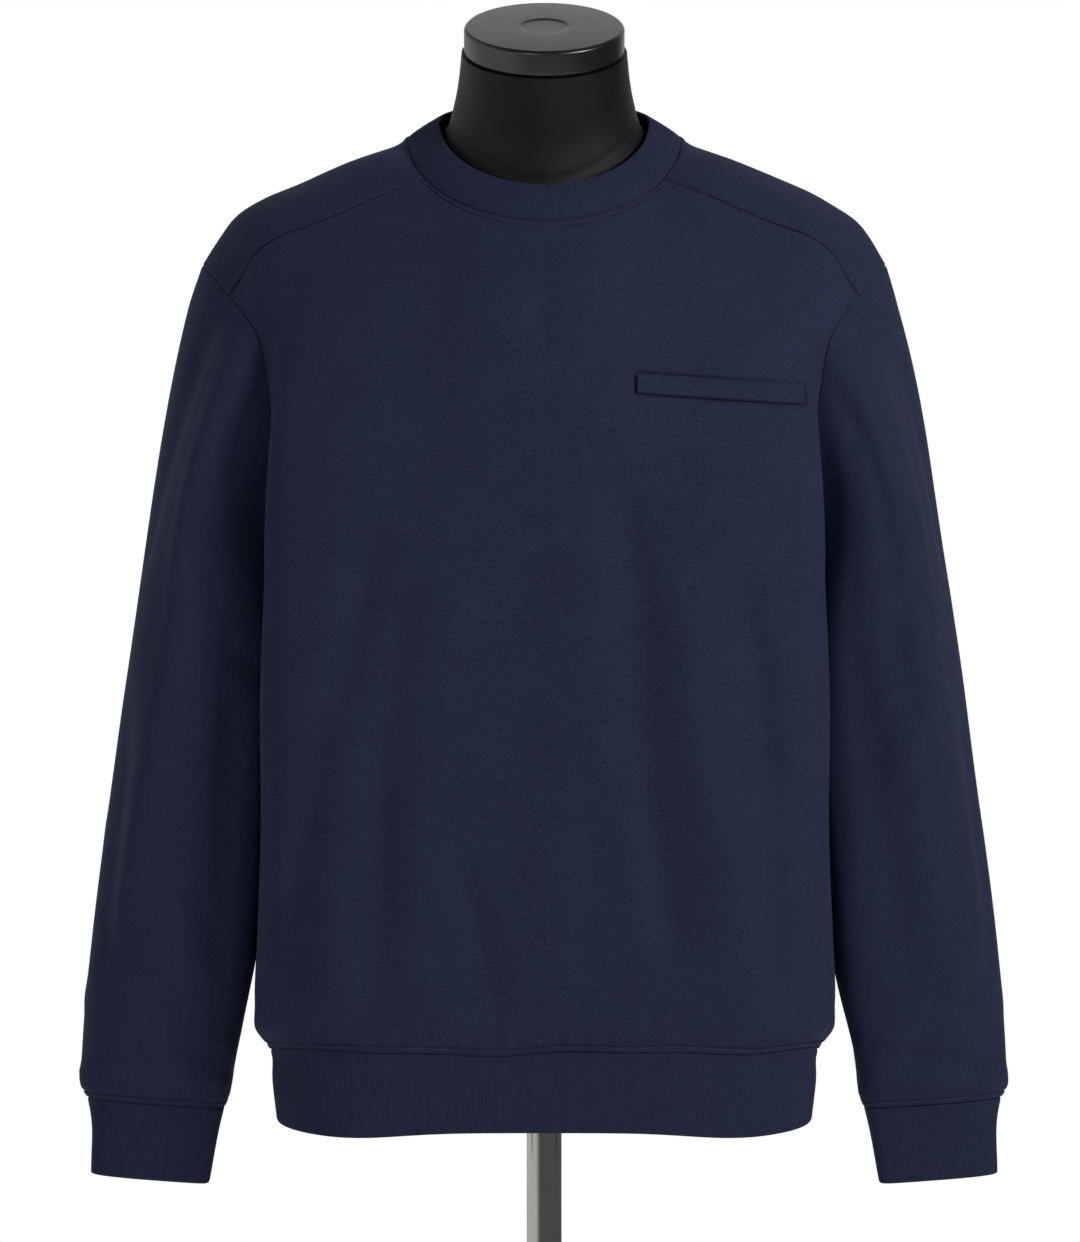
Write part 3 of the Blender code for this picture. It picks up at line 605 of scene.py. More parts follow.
@dataclass(frozen=True)
class BodyShape:
    """The sections, necklines and seams that the pieces of the garment share.

    A level is (z, half width, front, back, squareness, dip); a neck ring is (half width,
    front, back, middle, side z, drop in front, rise behind).
    """

    hem_z: float = 0.765
    hem_seam_z: float = 0.822
    underarm_z: float = 1.150
    levels: Table = (
        (0.765, 0.1920, 0.1180, 0.1120, 4.0, 0.000),
        (0.795, 0.1952, 0.1200, 0.1140, 4.0, 0.000),
        (0.822, 0.1985, 0.1235, 0.1175, 4.0, 0.002),
        (0.832, 0.2045, 0.1285, 0.1225, 4.0, 0.003),
        (0.850, 0.2060, 0.1305, 0.1245, 4.1, 0.004),
        (0.900, 0.2078, 0.1310, 0.1250, 4.3, 0.011),
        (0.980, 0.2095, 0.1300, 0.1245, 4.6, 0.022),
        (1.060, 0.2120, 0.1290, 0.1245, 4.9, 0.031),
        (1.150, 0.2105, 0.1275, 0.1250, 5.0, 0.0385),
    )
    dip_reach: float = 0.082
    side_sag: float = 0.014
    sag_reach: float = 0.060
    sag_rise: float = 0.060
    neck_seam: Numbers = (0.0960, 0.095, 0.070, 0.008, 1.4530, 0.0575, 0.010)
    neck_edge: Numbers = (0.0750, 0.082, 0.060, 0.006, 1.4655, 0.0460, 0.014)
    neck_roundness: float = 0.85
    neck_reach: float = 0.0012
    corner_turn: float = math.radians(60.4)
    neck_share: float = 0.27
    yoke_seam: Table = (
        (0.0835, -0.0442, 1.4243, 0.10, 0.72, 0.68),
        (0.1120, -0.0495, 1.4138, 0.06, 0.66, 0.75),
        (0.1380, -0.0510, 1.4025, 0.03, 0.60, 0.80),
        (0.1655, -0.0495, 1.3916, 0.02, 0.55, 0.83),
        (0.1860, -0.0465, 1.3840, 0.00, 0.50, 0.86),
        (0.2000, -0.0430, 1.3735, 0.05, 0.42, 0.89),
        (0.2090, -0.0400, 1.3590, 0.10, 0.32, 0.93),
        (0.2200, -0.0365, 1.3433, 0.20, 0.20, 0.95),
    )
    armhole_front: Table = (
        (0.1720, 0.0000, 1.1500),
        (0.1770, -0.0340, 1.1700),
        (0.1850, -0.0580, 1.2200),
        (0.1915, -0.0680, 1.2800),
        (0.2000, -0.0630, 1.3180),
        (0.2112, -0.0500, 1.3336),
        (0.2200, -0.0365, 1.3433),
    )
    armhole_back: Table = (
        (0.1720, 0.0000, 1.1500),
        (0.1785, 0.0335, 1.1690),
        (0.1895, 0.0585, 1.2180),
        (0.1990, 0.0700, 1.2850),
        (0.2180, 0.0600, 1.3300),
        (0.2350, 0.0380, 1.3560),
        (0.2410, 0.0080, 1.3638),
        (0.2330, -0.0180, 1.3570),
        (0.2200, -0.0365, 1.3433),
    )
    shoulder_line: Table = (
        (0.0955, 0.0080, 1.4530),
        (0.1060, 0.0084, 1.4500),
        (0.1330, 0.0090, 1.4378),
        (0.1665, 0.0095, 1.4230),
        (0.1980, 0.0100, 1.4088),
        (0.2185, 0.0100, 1.3952),
        (0.2300, 0.0095, 1.3800),
        (0.2410, 0.0080, 1.3638),
    )
    ridge_at_corner: float = 0.20
    neck_front_way: Numbers = (0.0, 0.50, 0.86)
    neck_back_way: Numbers = (0.0, -0.62, 0.78)
    neck_side_way: Numbers = (-0.66, -0.84, 0.25)
    most_sideways: float = 0.8
    crossing_pull: float = 0.88
    yoke_slant: float = 0.6
    body_lean: float = 0.06
    longest_crossing: float = 1.30

    def quarter(self, z: float, shares: Array, facing: int) -> Array:
        """A quarter of a body section, from the centre (share 0) to the side seam (1).

        x = width * cos(t) ** (2 / square), y = depth * sin(t) ** (2 / square), drawn in at
        the side by the dip times exp(-(y / reach) ** 2).

        Args:
            z: height of the section.
            shares: of its length.
            facing: -1 for the front, 1 for the back.

        Returns:
            A point for each share.
        """
        table = np.array(self.levels)
        width, front, back, square, dip = smooth(table[:, 0], table[:, 1:], np.array(z))
        turn = np.linspace(math.pi / 2, 0, SECTION_STEPS)
        y = (front if facing < 0 else back) * np.sin(turn) ** (2 / square)
        out = np.abs(np.cos(turn)) ** (2 / square)
        out[0] = 0
        x = width * out - dip * out**2 * np.exp(-((y / self.dip_reach) ** 2))
        curve = np.stack([x, facing * y, np.full_like(x, z)], axis=1)
        run = lengths(curve)
        at = np.asarray(shares) * run[-1]
        return np.stack([np.interp(at, run, curve[:, i]) for i in range(3)], axis=1)

    def neck_ring(self, ring: Numbers, turns: Array) -> Array:
        """Points of a ring round the neck; turn 0 is its front, pi its back.

        Args:
            ring: its sizes, in the order above.
            turns: angles round it.

        Returns:
            A point for each turn.
        """
        width, front, back, middle, side_z, drop, rise = ring
        ahead = np.cos(turns)
        depth = np.where(ahead > 0, front, back)
        reach = np.sign(ahead) * np.abs(ahead) ** self.neck_roundness
        height = np.where(ahead > 0, -drop * ahead, -rise * ahead)
        return np.stack([width * np.sin(turns), middle - depth * reach, side_z + height], axis=1)

    def beside_neck(self, points: Array) -> Array:
        """Whether each point lies on the neck seam, within its reach.

        Args:
            points: of a top edge.

        Returns:
            True where the neck seam runs.
        """
        ring = self.neck_ring(self.neck_seam, np.linspace(0, math.pi, SECTION_STEPS))
        ring = np.concatenate([ring, ring * OTHER_SIDE])
        return np.linalg.norm(points[:, None] - ring[None], axis=2).min(axis=1) < self.neck_reach

    def sagged(self, points: Array) -> Array:
        """The points near the hem seam, lowered where the cloth hangs over at the sides.

        Args:
            points: any grid of points.

        Returns:
            The moved points.
        """
        side = np.exp(-((points[..., 1] / self.sag_reach) ** 2))
        below = (points[..., 2] - self.hem_z) / (self.hem_seam_z - self.hem_z)
        above = (self.hem_seam_z + self.sag_rise - points[..., 2]) / self.sag_rise
        share = np.clip(np.minimum(below, above), 0, 1)
        moved = points.copy()
        moved[..., 2] -= self.side_sag * side * share
        return moved

    def lower_body(self, shares: Array, facing: int) -> Array:
        """Level sections from the hem seam to the underarm, for these columns."""
        heights = np.linspace(self.hem_seam_z, self.underarm_z, GUIDE_STEPS)
        return self.sagged(np.stack([self.quarter(z, shares, facing) for z in heights]))

    def armhole_loop(self, front_rows: int, back_rows: int) -> Array:
        """The left armhole from the underarm up its front, over the tip, down the back."""
        rear = along(self.armhole_back, back_rows)[::-1]
        return np.concatenate([along(self.armhole_front, front_rows), rear[1:]])


@dataclass(frozen=True)
class HemPinch:
    """The grip of the hem band: cloth drawn in at the sides, and a seam in slow waves.

    A wave is (radians a metre along X, the same along Y, its share of the wave's height).
    """

    inward: float = 0.0045
    side_x: float = 0.2
    side_power: int = 6
    side_drop: float = 0.012
    drop_reach: float = 0.06
    above: float = 0.016
    wave: float = 0.0013
    wave_reach: float = 0.022
    wave_start: float = 1.2
    long_wave: Numbers = (33.0, 9.0, 1.0)
    short_wave: Numbers = (71.0, -6.0, 0.6)

    def drawn(self, points: Array, seam_z: float) -> Array:
        """The points drawn in at the sides at and below the hem seam.

        x moves in by inward * (|x| / side_x) ** side_power below the seam, fading out above
        it, and heights near the seam move by the sum of the two waves.

        Args:
            points: any grid of points (..., 3).
            seam_z: height of the hem seam.

        Returns:
            The moved points.
        """
        x, y, z = points[..., 0], points[..., 1], points[..., 2]
        side = np.clip(np.abs(x) / self.side_x, 0, 1) ** self.side_power
        low = seam_z - self.side_drop * np.exp(-((y / self.drop_reach) ** 2)) * side
        fade = 1 - eased((z - low) / self.above)
        long, short = self.long_wave, self.short_wave
        wave = long[2] * np.sin(long[0] * x + self.wave_start + long[1] * y)
        wave = wave + short[2] * np.sin(short[0] * x + short[1] * y)
        moved = points.copy()
        moved[..., 0] -= np.sign(x) * self.inward * side * fade
        moved[..., 2] += self.wave * wave * (1 - side) * bump(z, seam_z, self.wave_reach)
        return moved


def fitted(surface: Array, row_shares: Array, shares: Array, edge: Array) -> Array:
    """Rows of a dense surface, cut short where the armhole edge runs across it.

    Each edge point is projected onto the surface (nearest point, then Gauss-Newton steps).
    A row slides along the surface to that spot, most at the outer columns: share s moves by
    (1 - s_edge) * s ** 2, the row by its difference * s ** 3, and what is left of the
    distance fades in by s ** 6.

    Args:
        surface: points (rows, columns, 3) from the underarm to the top edge.
        row_shares: where each wanted row starts at the centre.
        shares: where the columns stand on a level section.
        edge: the armhole's points, one for each wanted row.

    Returns:
        The rows, the last of them the surface's own last row.
    """
    last = np.array(surface.shape[:2]) - 1
    away = np.linalg.norm(surface[None] - edge[:, None, None], axis=3)
    nearest = away.reshape(len(edge), -1).argmin(axis=1)
    row, column = (place.astype(float) for place in np.unravel_index(nearest, away.shape[1:]))
    up, across = np.gradient(surface, axis=0), np.gradient(surface, axis=1)
    for _ in range(SLIDE_STEPS):
        left = edge - sampled(surface, row, column)
        a, b = sampled(up, row, column), sampled(across, row, column)
        aa, ab, bb = (a * a).sum(1), (a * b).sum(1), (b * b).sum(1)
        la, lb = (left * a).sum(1), (left * b).sum(1)
        size = aa * bb - ab**2
        row = np.clip(row + (bb * la - ab * lb) / size, 0, last[0])
        column = np.clip(column + (aa * lb - ab * la) / size, 0, last[1])
    start = (row_shares * last[0])[:, None]
    reached = np.interp(column, np.arange(last[1] + 1), shares)[:, None]
    places = shares - (1 - reached) * shares**2
    where = np.interp(places, shares, np.arange(last[1] + 1))
    found = sampled(surface, start + (row[:, None] - start) * shares**3, where)
    found += (edge - found[:, -1])[:, None] * shares[None, :, None] ** 6
    found[-1] = surface[-1]
    return found


def mirrored(grid: Array) -> Array:
    """The same patch on the wearer's right, with its columns turned round."""
    return grid[:, ::-1] * OTHER_SIDE


def both_halves(half: Array) -> Array:
    """A full-width patch from a left half whose first column is the centre."""
    return np.concatenate([mirrored(half)[:, :-1], half], axis=1)


# ---- finishes

# A pattern whose numbers are metres each way, and how strongly noise's fine parts show
METRES = (1.0, 1.0)
NOISE_ROUGHNESS = 0.6
WHITE = (1.0, 1.0, 1.0, 1.0)


class Nodes:
    """A node tree, written in short calls."""

    def __init__(self, tree: bpy.types.NodeTree) -> None:
        """Keeps the tree that the calls add to."""
        self.tree = tree

    def add(self, kind: str, inputs: dict | None = None, **settings: object) -> bpy.types.Node:
        """A node of a kind, with its settings, and its inputs linked or set.

        Args:
            kind: the node's type after "ShaderNode".
            inputs: input name or number to an output socket, or to a plain value.
            settings: the node's own properties.

        Returns:
            The node.
        """
        node = self.tree.nodes.new("ShaderNode" + kind)
        for key, value in settings.items():
            setattr(node, key, value)
        for key, value in (inputs or {}).items():
            self.set(node.inputs[key], value)
        return node

    def set(self, socket: Socket, value: object) -> None:
        """Links an output to a socket, or gives it a plain value.

        Args:
            socket: the input.
            value: an output, or a plain value.
        """
        if isinstance(value, Socket):
            self.tree.links.new(value, socket)
        else:
            socket.default_value = value

    def math(self, operation: str, *inputs: object) -> Socket:
        """The result of a Math node on these values or outputs."""
        return self.add("Math", dict(enumerate(inputs)), operation=operation).outputs[0]

    def flat_place(self, scale: Numbers) -> Socket:
        """The cloth's flat place in metres, stretched by a scale each way."""
        place = self.add("UVMap", uv_map="flat").outputs[0]
        return self.add("VectorMath", {0: place, 1: (*scale, 1.0)}, operation="MULTIPLY").outputs[0]

    def noise(self, vector: Socket, detail: float = 2.0) -> Socket:
        """Noise of unit scale on a vector."""
        inputs = {"Vector": vector, "Scale": 1.0, "Detail": detail, "Roughness": NOISE_ROUGHNESS}
        return self.add("TexNoise", inputs).outputs["Fac"]

    def grain(self, vector: Socket, scale: float, detail: float) -> Socket:
        """Noise of a scale on a vector."""
        return self.add("TexNoise", {"Vector": vector, "Scale": scale, "Detail": detail}).outputs["Fac"]

    def object_place(self) -> Socket:
        """The place on the object in metres."""
        return self.add("TexCoord").outputs["Object"]

    def mixed(self, first: Socket, second: Socket, share: float) -> Socket:
        """first * (1 - share) + second * share."""
        rest = self.math("MULTIPLY", first, 1 - share)
        return self.math("MULTIPLY_ADD", second, share, rest)

    def between(self, factor: Socket, span: Numbers, dark: Numbers, light: Numbers) -> Socket:
        """A colour ramp from dark at the start of a span to light at its end.

        Args:
            factor: where on the ramp.
            span: (start, end) of the ramp.
            dark: colour at its start.
            light: colour at its end.

        Returns:
            The ramp's colour.
        """
        ramp = self.add("ValToRGB", {"Fac": factor})
        first, second = ramp.color_ramp.elements
        first.position, second.position = span
        first.color, second.color = (*dark, 1.0), (*light, 1.0)
        return ramp.outputs["Color"]


class Surface(Nodes):
    """A material's nodes, with its Principled shader."""

    def __init__(self, name: str) -> None:
        """Makes the material.

        Args:
            name: the material's name.
        """
        self.material = bpy.data.materials.new(name)
        self.material.use_nodes = True
        super().__init__(self.material.node_tree)
        self.shader = self.tree.nodes["Principled BSDF"]

    def coloured(self, factor: Socket, span: Numbers, dark: Numbers, light: Numbers) -> None:
        """Sets the colour to a ramp from dark to light."""
        self.set(self.shader.inputs["Base Color"], self.between(factor, span, dark, light))

    def bumped(self, height: Socket, depth: float, strength: float) -> None:
        """Raises the surface's shading by a height of this depth in metres."""
        inputs = {"Height": height, "Distance": depth, "Strength": strength}
        self.set(self.shader.inputs["Normal"], self.add("Bump", inputs).outputs["Normal"])

    def finish(self, **values: object) -> Material:
        """Sets plain values of the shader, named with _ for a space.

        Args:
            values: input name to value.

        Returns:
            The material.
        """
        for key, value in values.items():
            self.shader.inputs[key.replace("_", " ")].default_value = value
        return self.material


@dataclass(frozen=True)
class ClothFinish:
    """A knitted or spun finish: tones from dark to light by a pattern, and its height.

    Scales are spots a metre across and down the cloth; shares are parts of the mixture.
    The faint blue sheen is that of brushed navy yarn.
    """

    name: str
    dark: Numbers
    light: Numbers
    depth: float
    strength: float = 0.5
    ramp: Numbers = (0.33, 0.67)
    roughness: float = 0.88
    sheen: float = 0.07
    sheen_roughness: float = 0.45
    sheen_tint: Numbers = (0.45, 0.52, 0.85, 1.0)
    specular: float = 0.20

    def pattern(self, made: Surface) -> tuple[Socket, Socket]:
        """The tone and the height, which each finish works out in its own way."""
        raise NotImplementedError(self.name)

    def material(self) -> Material:
        """The pattern's tones and height on a shader of this roughness and sheen.

        Returns:
            The material.
        """
        made = Surface(self.name)
        tone, height = self.pattern(made)
        made.coloured(tone, self.ramp, self.dark, self.light)
        made.bumped(height, self.depth, self.strength)
        return made.finish(
            Roughness=self.roughness,
            Sheen_Weight=self.sheen,
            Sheen_Roughness=self.sheen_roughness,
            Sheen_Tint=self.sheen_tint,
            Specular_IOR_Level=self.specular,
        )


@dataclass(frozen=True)
class KnitFinish(ClothFinish):
    """Brushed navy jersey: wales and courses, slub yarn and slow clouds of tone."""

    name: str = "navy_jersey"
    dark: Numbers = (0.0082, 0.0120, 0.0330)
    light: Numbers = (0.0218, 0.0285, 0.0700)
    depth: float = 0.00022
    wale: float = 0.00115
    course: float = 0.00085
    yarn_scale: Numbers = (420.0, 520.0)
    slub_scale: Numbers = (160.0, 620.0)
    slub_share: float = 0.28
    cloud_scale: Numbers = (22.0, 26.0)
    cloud_share: float = 0.18
    stitch_slant: float = 0.45
    wale_power: float = 3.0
    stitch_height: float = 0.6
    yarn_height: float = 0.8

    def pattern(self, made: Surface) -> tuple[Socket, Socket]:
        """Height = sine of the course, drawn up into a V over each wale, low between wales,
        plus yarn noise; tone = fine heather noise, slub streaks and slow clouds.

        Args:
            made: the material's nodes.

        Returns:
            The tone and the height.
        """
        place = made.add("SeparateXYZ", {0: made.flat_place(METRES)})
        wale = made.math("FRACT", made.math("MULTIPLY", place.outputs[0], 1 / self.wale))
        off = made.math("ABSOLUTE", made.math("MULTIPLY_ADD", wale, 2.0, -1.0))
        course = made.math("MULTIPLY", place.outputs[1], 1 / self.course)
        course = made.math("MULTIPLY_ADD", off, self.stitch_slant, course)
        loop = made.math("SINE", made.math("MULTIPLY", course, math.tau))
        loop = made.math("MULTIPLY_ADD", loop, 0.5, 0.5)
        edge = made.math("SUBTRACT", 1.0, made.math("POWER", off, self.wale_power))
        yarn = made.noise(made.flat_place(self.yarn_scale), 3.0)
        slub = made.noise(made.flat_place(self.slub_scale), 1.0)
        cloud = made.noise(made.flat_place(self.cloud_scale), 3.0)
        tone = made.mixed(made.mixed(yarn, slub, self.slub_share), cloud, self.cloud_share)
        height = made.math("MULTIPLY", yarn, self.yarn_height)
        stitch = made.math("MULTIPLY", loop, edge)
        return tone, made.math("MULTIPLY_ADD", stitch, self.stitch_height, height)


@dataclass(frozen=True)
class RibFinish(ClothFinish):
    """Navy rib knit: courses across the modelled ribs, a finer grain than the jersey."""

    name: str = "navy_rib"
    dark: Numbers = (0.0085, 0.0125, 0.0330)
    light: Numbers = (0.0190, 0.0255, 0.0620)
    depth: float = 0.00016
    course: float = 0.0009
    course_height: float = 0.25
    yarn_scale: Numbers = (900.0, 1300.0)
    slub_scale: Numbers = (500.0, 60.0)
    slub_share: float = 0.35

    def pattern(self, made: Surface) -> tuple[Socket, Socket]:
        """Height = sine of the course plus yarn noise; tone = yarn noise and slub streaks.

        Args:
            made: the material's nodes.

        Returns:
            The tone and the height.
        """
        place = made.add("SeparateXYZ", {0: made.flat_place(METRES)})
        course = made.math("SINE", made.math("MULTIPLY", place.outputs[1], math.tau / self.course))
        yarn = made.noise(made.flat_place(self.yarn_scale), 2.0)
        slub = made.noise(made.flat_place(self.slub_scale), 1.0)
        tone = made.mixed(yarn, slub, self.slub_share)
        return tone, made.math("MULTIPLY_ADD", course, self.course_height, yarn)


@dataclass(frozen=True)
class ThreadFinish(ClothFinish):
    """Navy sewing thread with a slight lustre and a fine twist."""

    name: str = "navy_thread"
    dark: Numbers = (0.0090, 0.0120, 0.0290)
    light: Numbers = (0.0170, 0.0220, 0.0500)
    depth: float = 0.0001
    strength: float = 0.6
    ramp: Numbers = (0.35, 0.65)
    roughness: float = 0.6
    sheen: float = 0.1
    sheen_roughness: float = 0.5
    sheen_tint: Numbers = WHITE
    specular: float = 0.5
    twist_scale: float = 2600.0

    def pattern(self, made: Surface) -> tuple[Socket, Socket]:
        """Tone and height = noise as fine as the thread's twist, on object places."""
        twist = made.grain(made.object_place(), self.twist_scale, 1.0)
        return twist, twist


@dataclass(frozen=True)
class CoverFinish(ClothFinish):
    """The form's black jersey cover: a tight fine knit over a hard shell."""

    name: str = "black_cover"
    dark: Numbers = (0.0026, 0.0026, 0.0028)
    light: Numbers = (0.0050, 0.0049, 0.0049)
    depth: float = 0.00012
    ramp: Numbers = (0.35, 0.65)
    roughness: float = 0.50
    sheen: float = 0.0
    specular: float = 0.22
    wale: float = 0.0011
    course: float = 0.0008
    grain_scale: Numbers = (600.0, 600.0)
    cloud_scale: Numbers = (30.0, 25.0)
    cloud_share: float = 0.4
    wave_height: float = 0.3

    def pattern(self, made: Surface) -> tuple[Socket, Socket]:
        """Height = waves across and along the flat place plus grain; tone = slow noise.

        Args:
            made: the material's nodes.

        Returns:
            The tone and the height.
        """
        place = made.add("SeparateXYZ", {0: made.flat_place(METRES)})
        across = made.math("SINE", made.math("MULTIPLY", place.outputs[0], math.tau / self.wale))
        along_it = made.math("SINE", made.math("MULTIPLY", place.outputs[1], math.tau / self.course))
        grain = made.noise(made.flat_place(self.grain_scale), 3.0)
        cloud = made.noise(made.flat_place(self.cloud_scale), 2.0)
        weave = made.math("MULTIPLY_ADD", along_it, self.wave_height, grain)
        height = made.math("MULTIPLY_ADD", across, self.wave_height, weave)
        return made.mixed(grain, cloud, self.cloud_share), height


@dataclass(frozen=True)
class MetalFinish:
    """A turned metal: fine rings round its axis, small marks and a varying polish."""

    name: str
    colour: Numbers
    low: float
    high: float
    metallic: float = 1.0
    ring_scale: Numbers = (4.0, 900.0)
    mark_scale: Numbers = (60.0, 60.0)
    mark_share: float = 0.5
    darkest: float = 0.85
    ramp: Numbers = (0.3, 0.7)
    depth: float = 0.00002
    strength: float = 0.4

    def material(self) -> Material:
        """Polish and height = noise on flat places, drawn out round the turned axis.

        Returns:
            The material.
        """
        made = Surface(self.name)
        fine = made.noise(made.flat_place(self.ring_scale), 2.0)
        marks = made.noise(made.flat_place(self.mark_scale), 3.0)
        mixed = made.mixed(fine, marks, self.mark_share)
        polish = made.add("MapRange", {"Value": mixed, "To Min": self.low, "To Max": self.high})
        made.set(made.shader.inputs["Roughness"], polish.outputs[0])
        made.coloured(mixed, self.ramp, tuple(part * self.darkest for part in self.colour), self.colour)
        made.bumped(fine, self.depth, self.strength)
        return made.finish(Metallic=self.metallic)


# ---- cloth pieces


@dataclass
class Wardrobe:
    """The finishes and shared shape that the cloth pieces are made with."""

    shape: BodyShape
    knit: Material
    rib: Material
    thread: Material


@dataclass
class Stitching:
    """A row of stitches: short threads that dip into the cloth at both ends."""

    pitch: float = 0.0031
    share: float = 0.72
    radius: float = 0.00022
    arch: float = 1.7
    sunk: float = 0.9
    end_size: float = 0.35
    stations: int = 5
    sides: int = 4

    def build(self, name: str, lines: list[tuple[Array, Array]], finish: Material) -> Piece:
        """Stitches along lines on the cloth, all in one mesh.

        A stitch runs over share of the pitch; its middle line stands above the cloth by
        radius * (arch * sin(pi * t) - sunk) and its thickness tapers to its ends.

        Args:
            name: the piece's name.
            lines: (points, normals) of each line, in order along it.
            finish: the thread's material.

        Returns:
            The object.
        """
        blocks = []
        for points, normals in lines:
            run = lengths(points)
            count = max(int(run[-1] / self.pitch), 1)
            starts = (np.arange(count) + (1 - self.share) / 2) * run[-1] / count
            t = np.linspace(0, 1, self.stations)
            at = starts[:, None] + t * self.share * run[-1] / count
            spine = np.stack([np.interp(at, run, points[:, i]) for i in range(3)], axis=-1)
            out = unit(np.stack([np.interp(at, run, normals[:, i]) for i in range(3)], axis=-1))
            way = unit(np.gradient(spine, axis=1))
            side = np.cross(out, way)
            swell = np.sin(math.pi * t)
            spine = spine + out * (self.radius * (self.arch * swell - self.sunk))[None, :, None]
            size = self.radius * (self.end_size + (1 - self.end_size) * swell)[None, :, None, None]
            angle = np.arange(self.sides) * math.tau / self.sides + math.pi / self.sides
            c, s = np.cos(angle)[None, None, :, None], np.sin(angle)[None, None, :, None]
            blocks.append(spine[:, :, None] + size * (c * side[:, :, None] + s * out[:, :, None]))
        threads = np.concatenate(blocks)
        each = self.stations * self.sides
        stations, corners = np.arange(self.stations - 1), np.arange(self.sides)
        station, corner = np.meshgrid(stations, corners, indexing="ij")
        after = (corner + 1) % self.sides
        walls = np.stack([station, station, station + 1, station + 1], axis=-1) * self.sides
        walls = walls + np.stack([corner, after, after, corner], axis=-1)
        first = np.arange(self.sides)[::-1]
        last = np.arange(self.sides) + each - self.sides
        faces = np.concatenate([walls.reshape(-1, 4), [first, last]])
        every = (np.arange(len(threads)) * each)[:, None, None] + faces
        return add_object(name, threads.reshape(-1, 3), every.reshape(-1, 4), finish)


FRONT_FOLDS = (
    Fold(-0.122, 1.170, -0.180, 0.880, 0.016, -0.0070, 0.003, 0.1),
    Fold(-0.098, 1.130, -0.122, 0.860, 0.014, -0.0052, 0.003, 0.5),
    Fold(-0.140, 1.060, -0.152, 0.870, 0.015, 0.0044, 0.003, 0.3),
    Fold(-0.056, 0.960, -0.036, 0.840, 0.013, -0.0048, 0.003, 0.7),
    Fold(0.052, 1.195, 0.086, 0.900, 0.017, -0.0072, 0.004, 0.2),
    Fold(0.098, 1.120, 0.132, 0.870, 0.018, 0.0066, 0.003, 0.6),
    Fold(0.142, 1.130, 0.160, 0.880, 0.013, -0.0062, 0.003, 0.9),
    Fold(-0.070, 1.150, -0.082, 0.900, 0.020, 0.0026, 0.004, 0.2),
    Fold(0.004, 1.040, 0.010, 0.860, 0.020, 0.0024, 0.005, 0.6),
    Fold(-0.018, 1.180, -0.004, 0.980, 0.026, -0.0020, 0.004, 0.4),
    Fold(0.060, 1.020, 0.066, 0.860, 0.013, 0.0024, 0.003, 0.8),
    Fold(-0.165, 1.240, -0.170, 1.090, 0.014, -0.0012, 0.003, 0.1),
    Fold(0.165, 1.250, 0.172, 1.080, 0.013, -0.0012, 0.003, 0.7),
    Fold(-0.090, 0.930, -0.080, 0.838, 0.010, 0.0011, 0.002, 0.5),
    Fold(0.024, 0.925, 0.030, 0.838, 0.011, -0.0010, 0.002, 0.3),
)
BACK_FOLDS = (
    Fold(-0.110, 1.220, -0.150, 0.880, 0.018, -0.0070, 0.003, 0.4),
    Fold(-0.050, 1.120, -0.070, 0.860, 0.017, 0.0056, 0.004, 0.1),
    Fold(0.020, 1.180, 0.015, 0.870, 0.020, -0.0064, 0.004, 0.8),
    Fold(0.085, 1.200, 0.110, 0.880, 0.017, 0.0060, 0.003, 0.3),
    Fold(0.125, 1.150, 0.160, 0.870, 0.015, -0.0064, 0.003, 0.6),
    Fold(-0.085, 1.280, -0.100, 1.060, 0.017, 0.0026, 0.004, 0.3),
    Fold(-0.015, 1.060, -0.024, 0.850, 0.014, 0.0024, 0.003, 0.9),
    Fold(0.060, 1.330, 0.056, 1.120, 0.024, 0.0020, 0.004, 0.5),
    Fold(0.150, 1.300, 0.148, 1.120, 0.015, -0.0014, 0.003, 0.2),
    Fold(-0.155, 1.290, -0.160, 1.100, 0.014, 0.0013, 0.003, 0.8),
    Fold(0.045, 0.960, 0.052, 0.840, 0.012, -0.0012, 0.003, 0.6),
)
# The folds fade out over this edge before this X, and start past this Y
FOLDS_END_X = 0.188
FOLD_EDGE = 0.020
FOLDS_FROM_Y = 0.05


@dataclass(frozen=True)
class SideLip:
    """The fold in which the front's corner stands out over the armhole and the side.

    Its line stands upright at a corner in X and Y; the reach is longer on the front.
    """

    corner: Numbers = (0.197, -0.106)
    side_reach: float = 0.013
    front_reach: float = 0.034
    reach_turn: float = 0.024
    push: float = 0.0100
    top_z: float = 1.356
    fade_top: float = 0.050
    foot_z: float = 1.100
    fade_foot: float = 0.210
    lower_share: float = 0.22
    hem_z: float = 0.840
    fade_hem: float = 0.080
    way: Numbers = (0.93, -0.37)

    def lift(self, x: Array, y: Array, z: Array) -> Array:
        """push * fades * exp(-(away / reach) ** 2) for the distance from the corner line.

        Args:
            x: places across.
            y: places from front to back.
            z: heights.

        Returns:
            How far out the lip stands there.
        """
        inward = self.corner[0] - np.abs(x)
        away = np.hypot(inward, y - self.corner[1])
        more = (self.front_reach - self.side_reach) * eased(inward / self.reach_turn)
        reach = self.side_reach + more
        upper = eased((z - self.foot_z) / self.fade_foot)
        lower = self.lower_share * eased((z - self.hem_z) / self.fade_hem)
        fade = eased((self.top_z - z) / self.fade_top) * np.maximum(upper, lower)
        return self.push * fade * np.exp(-((away / reach) ** 2))


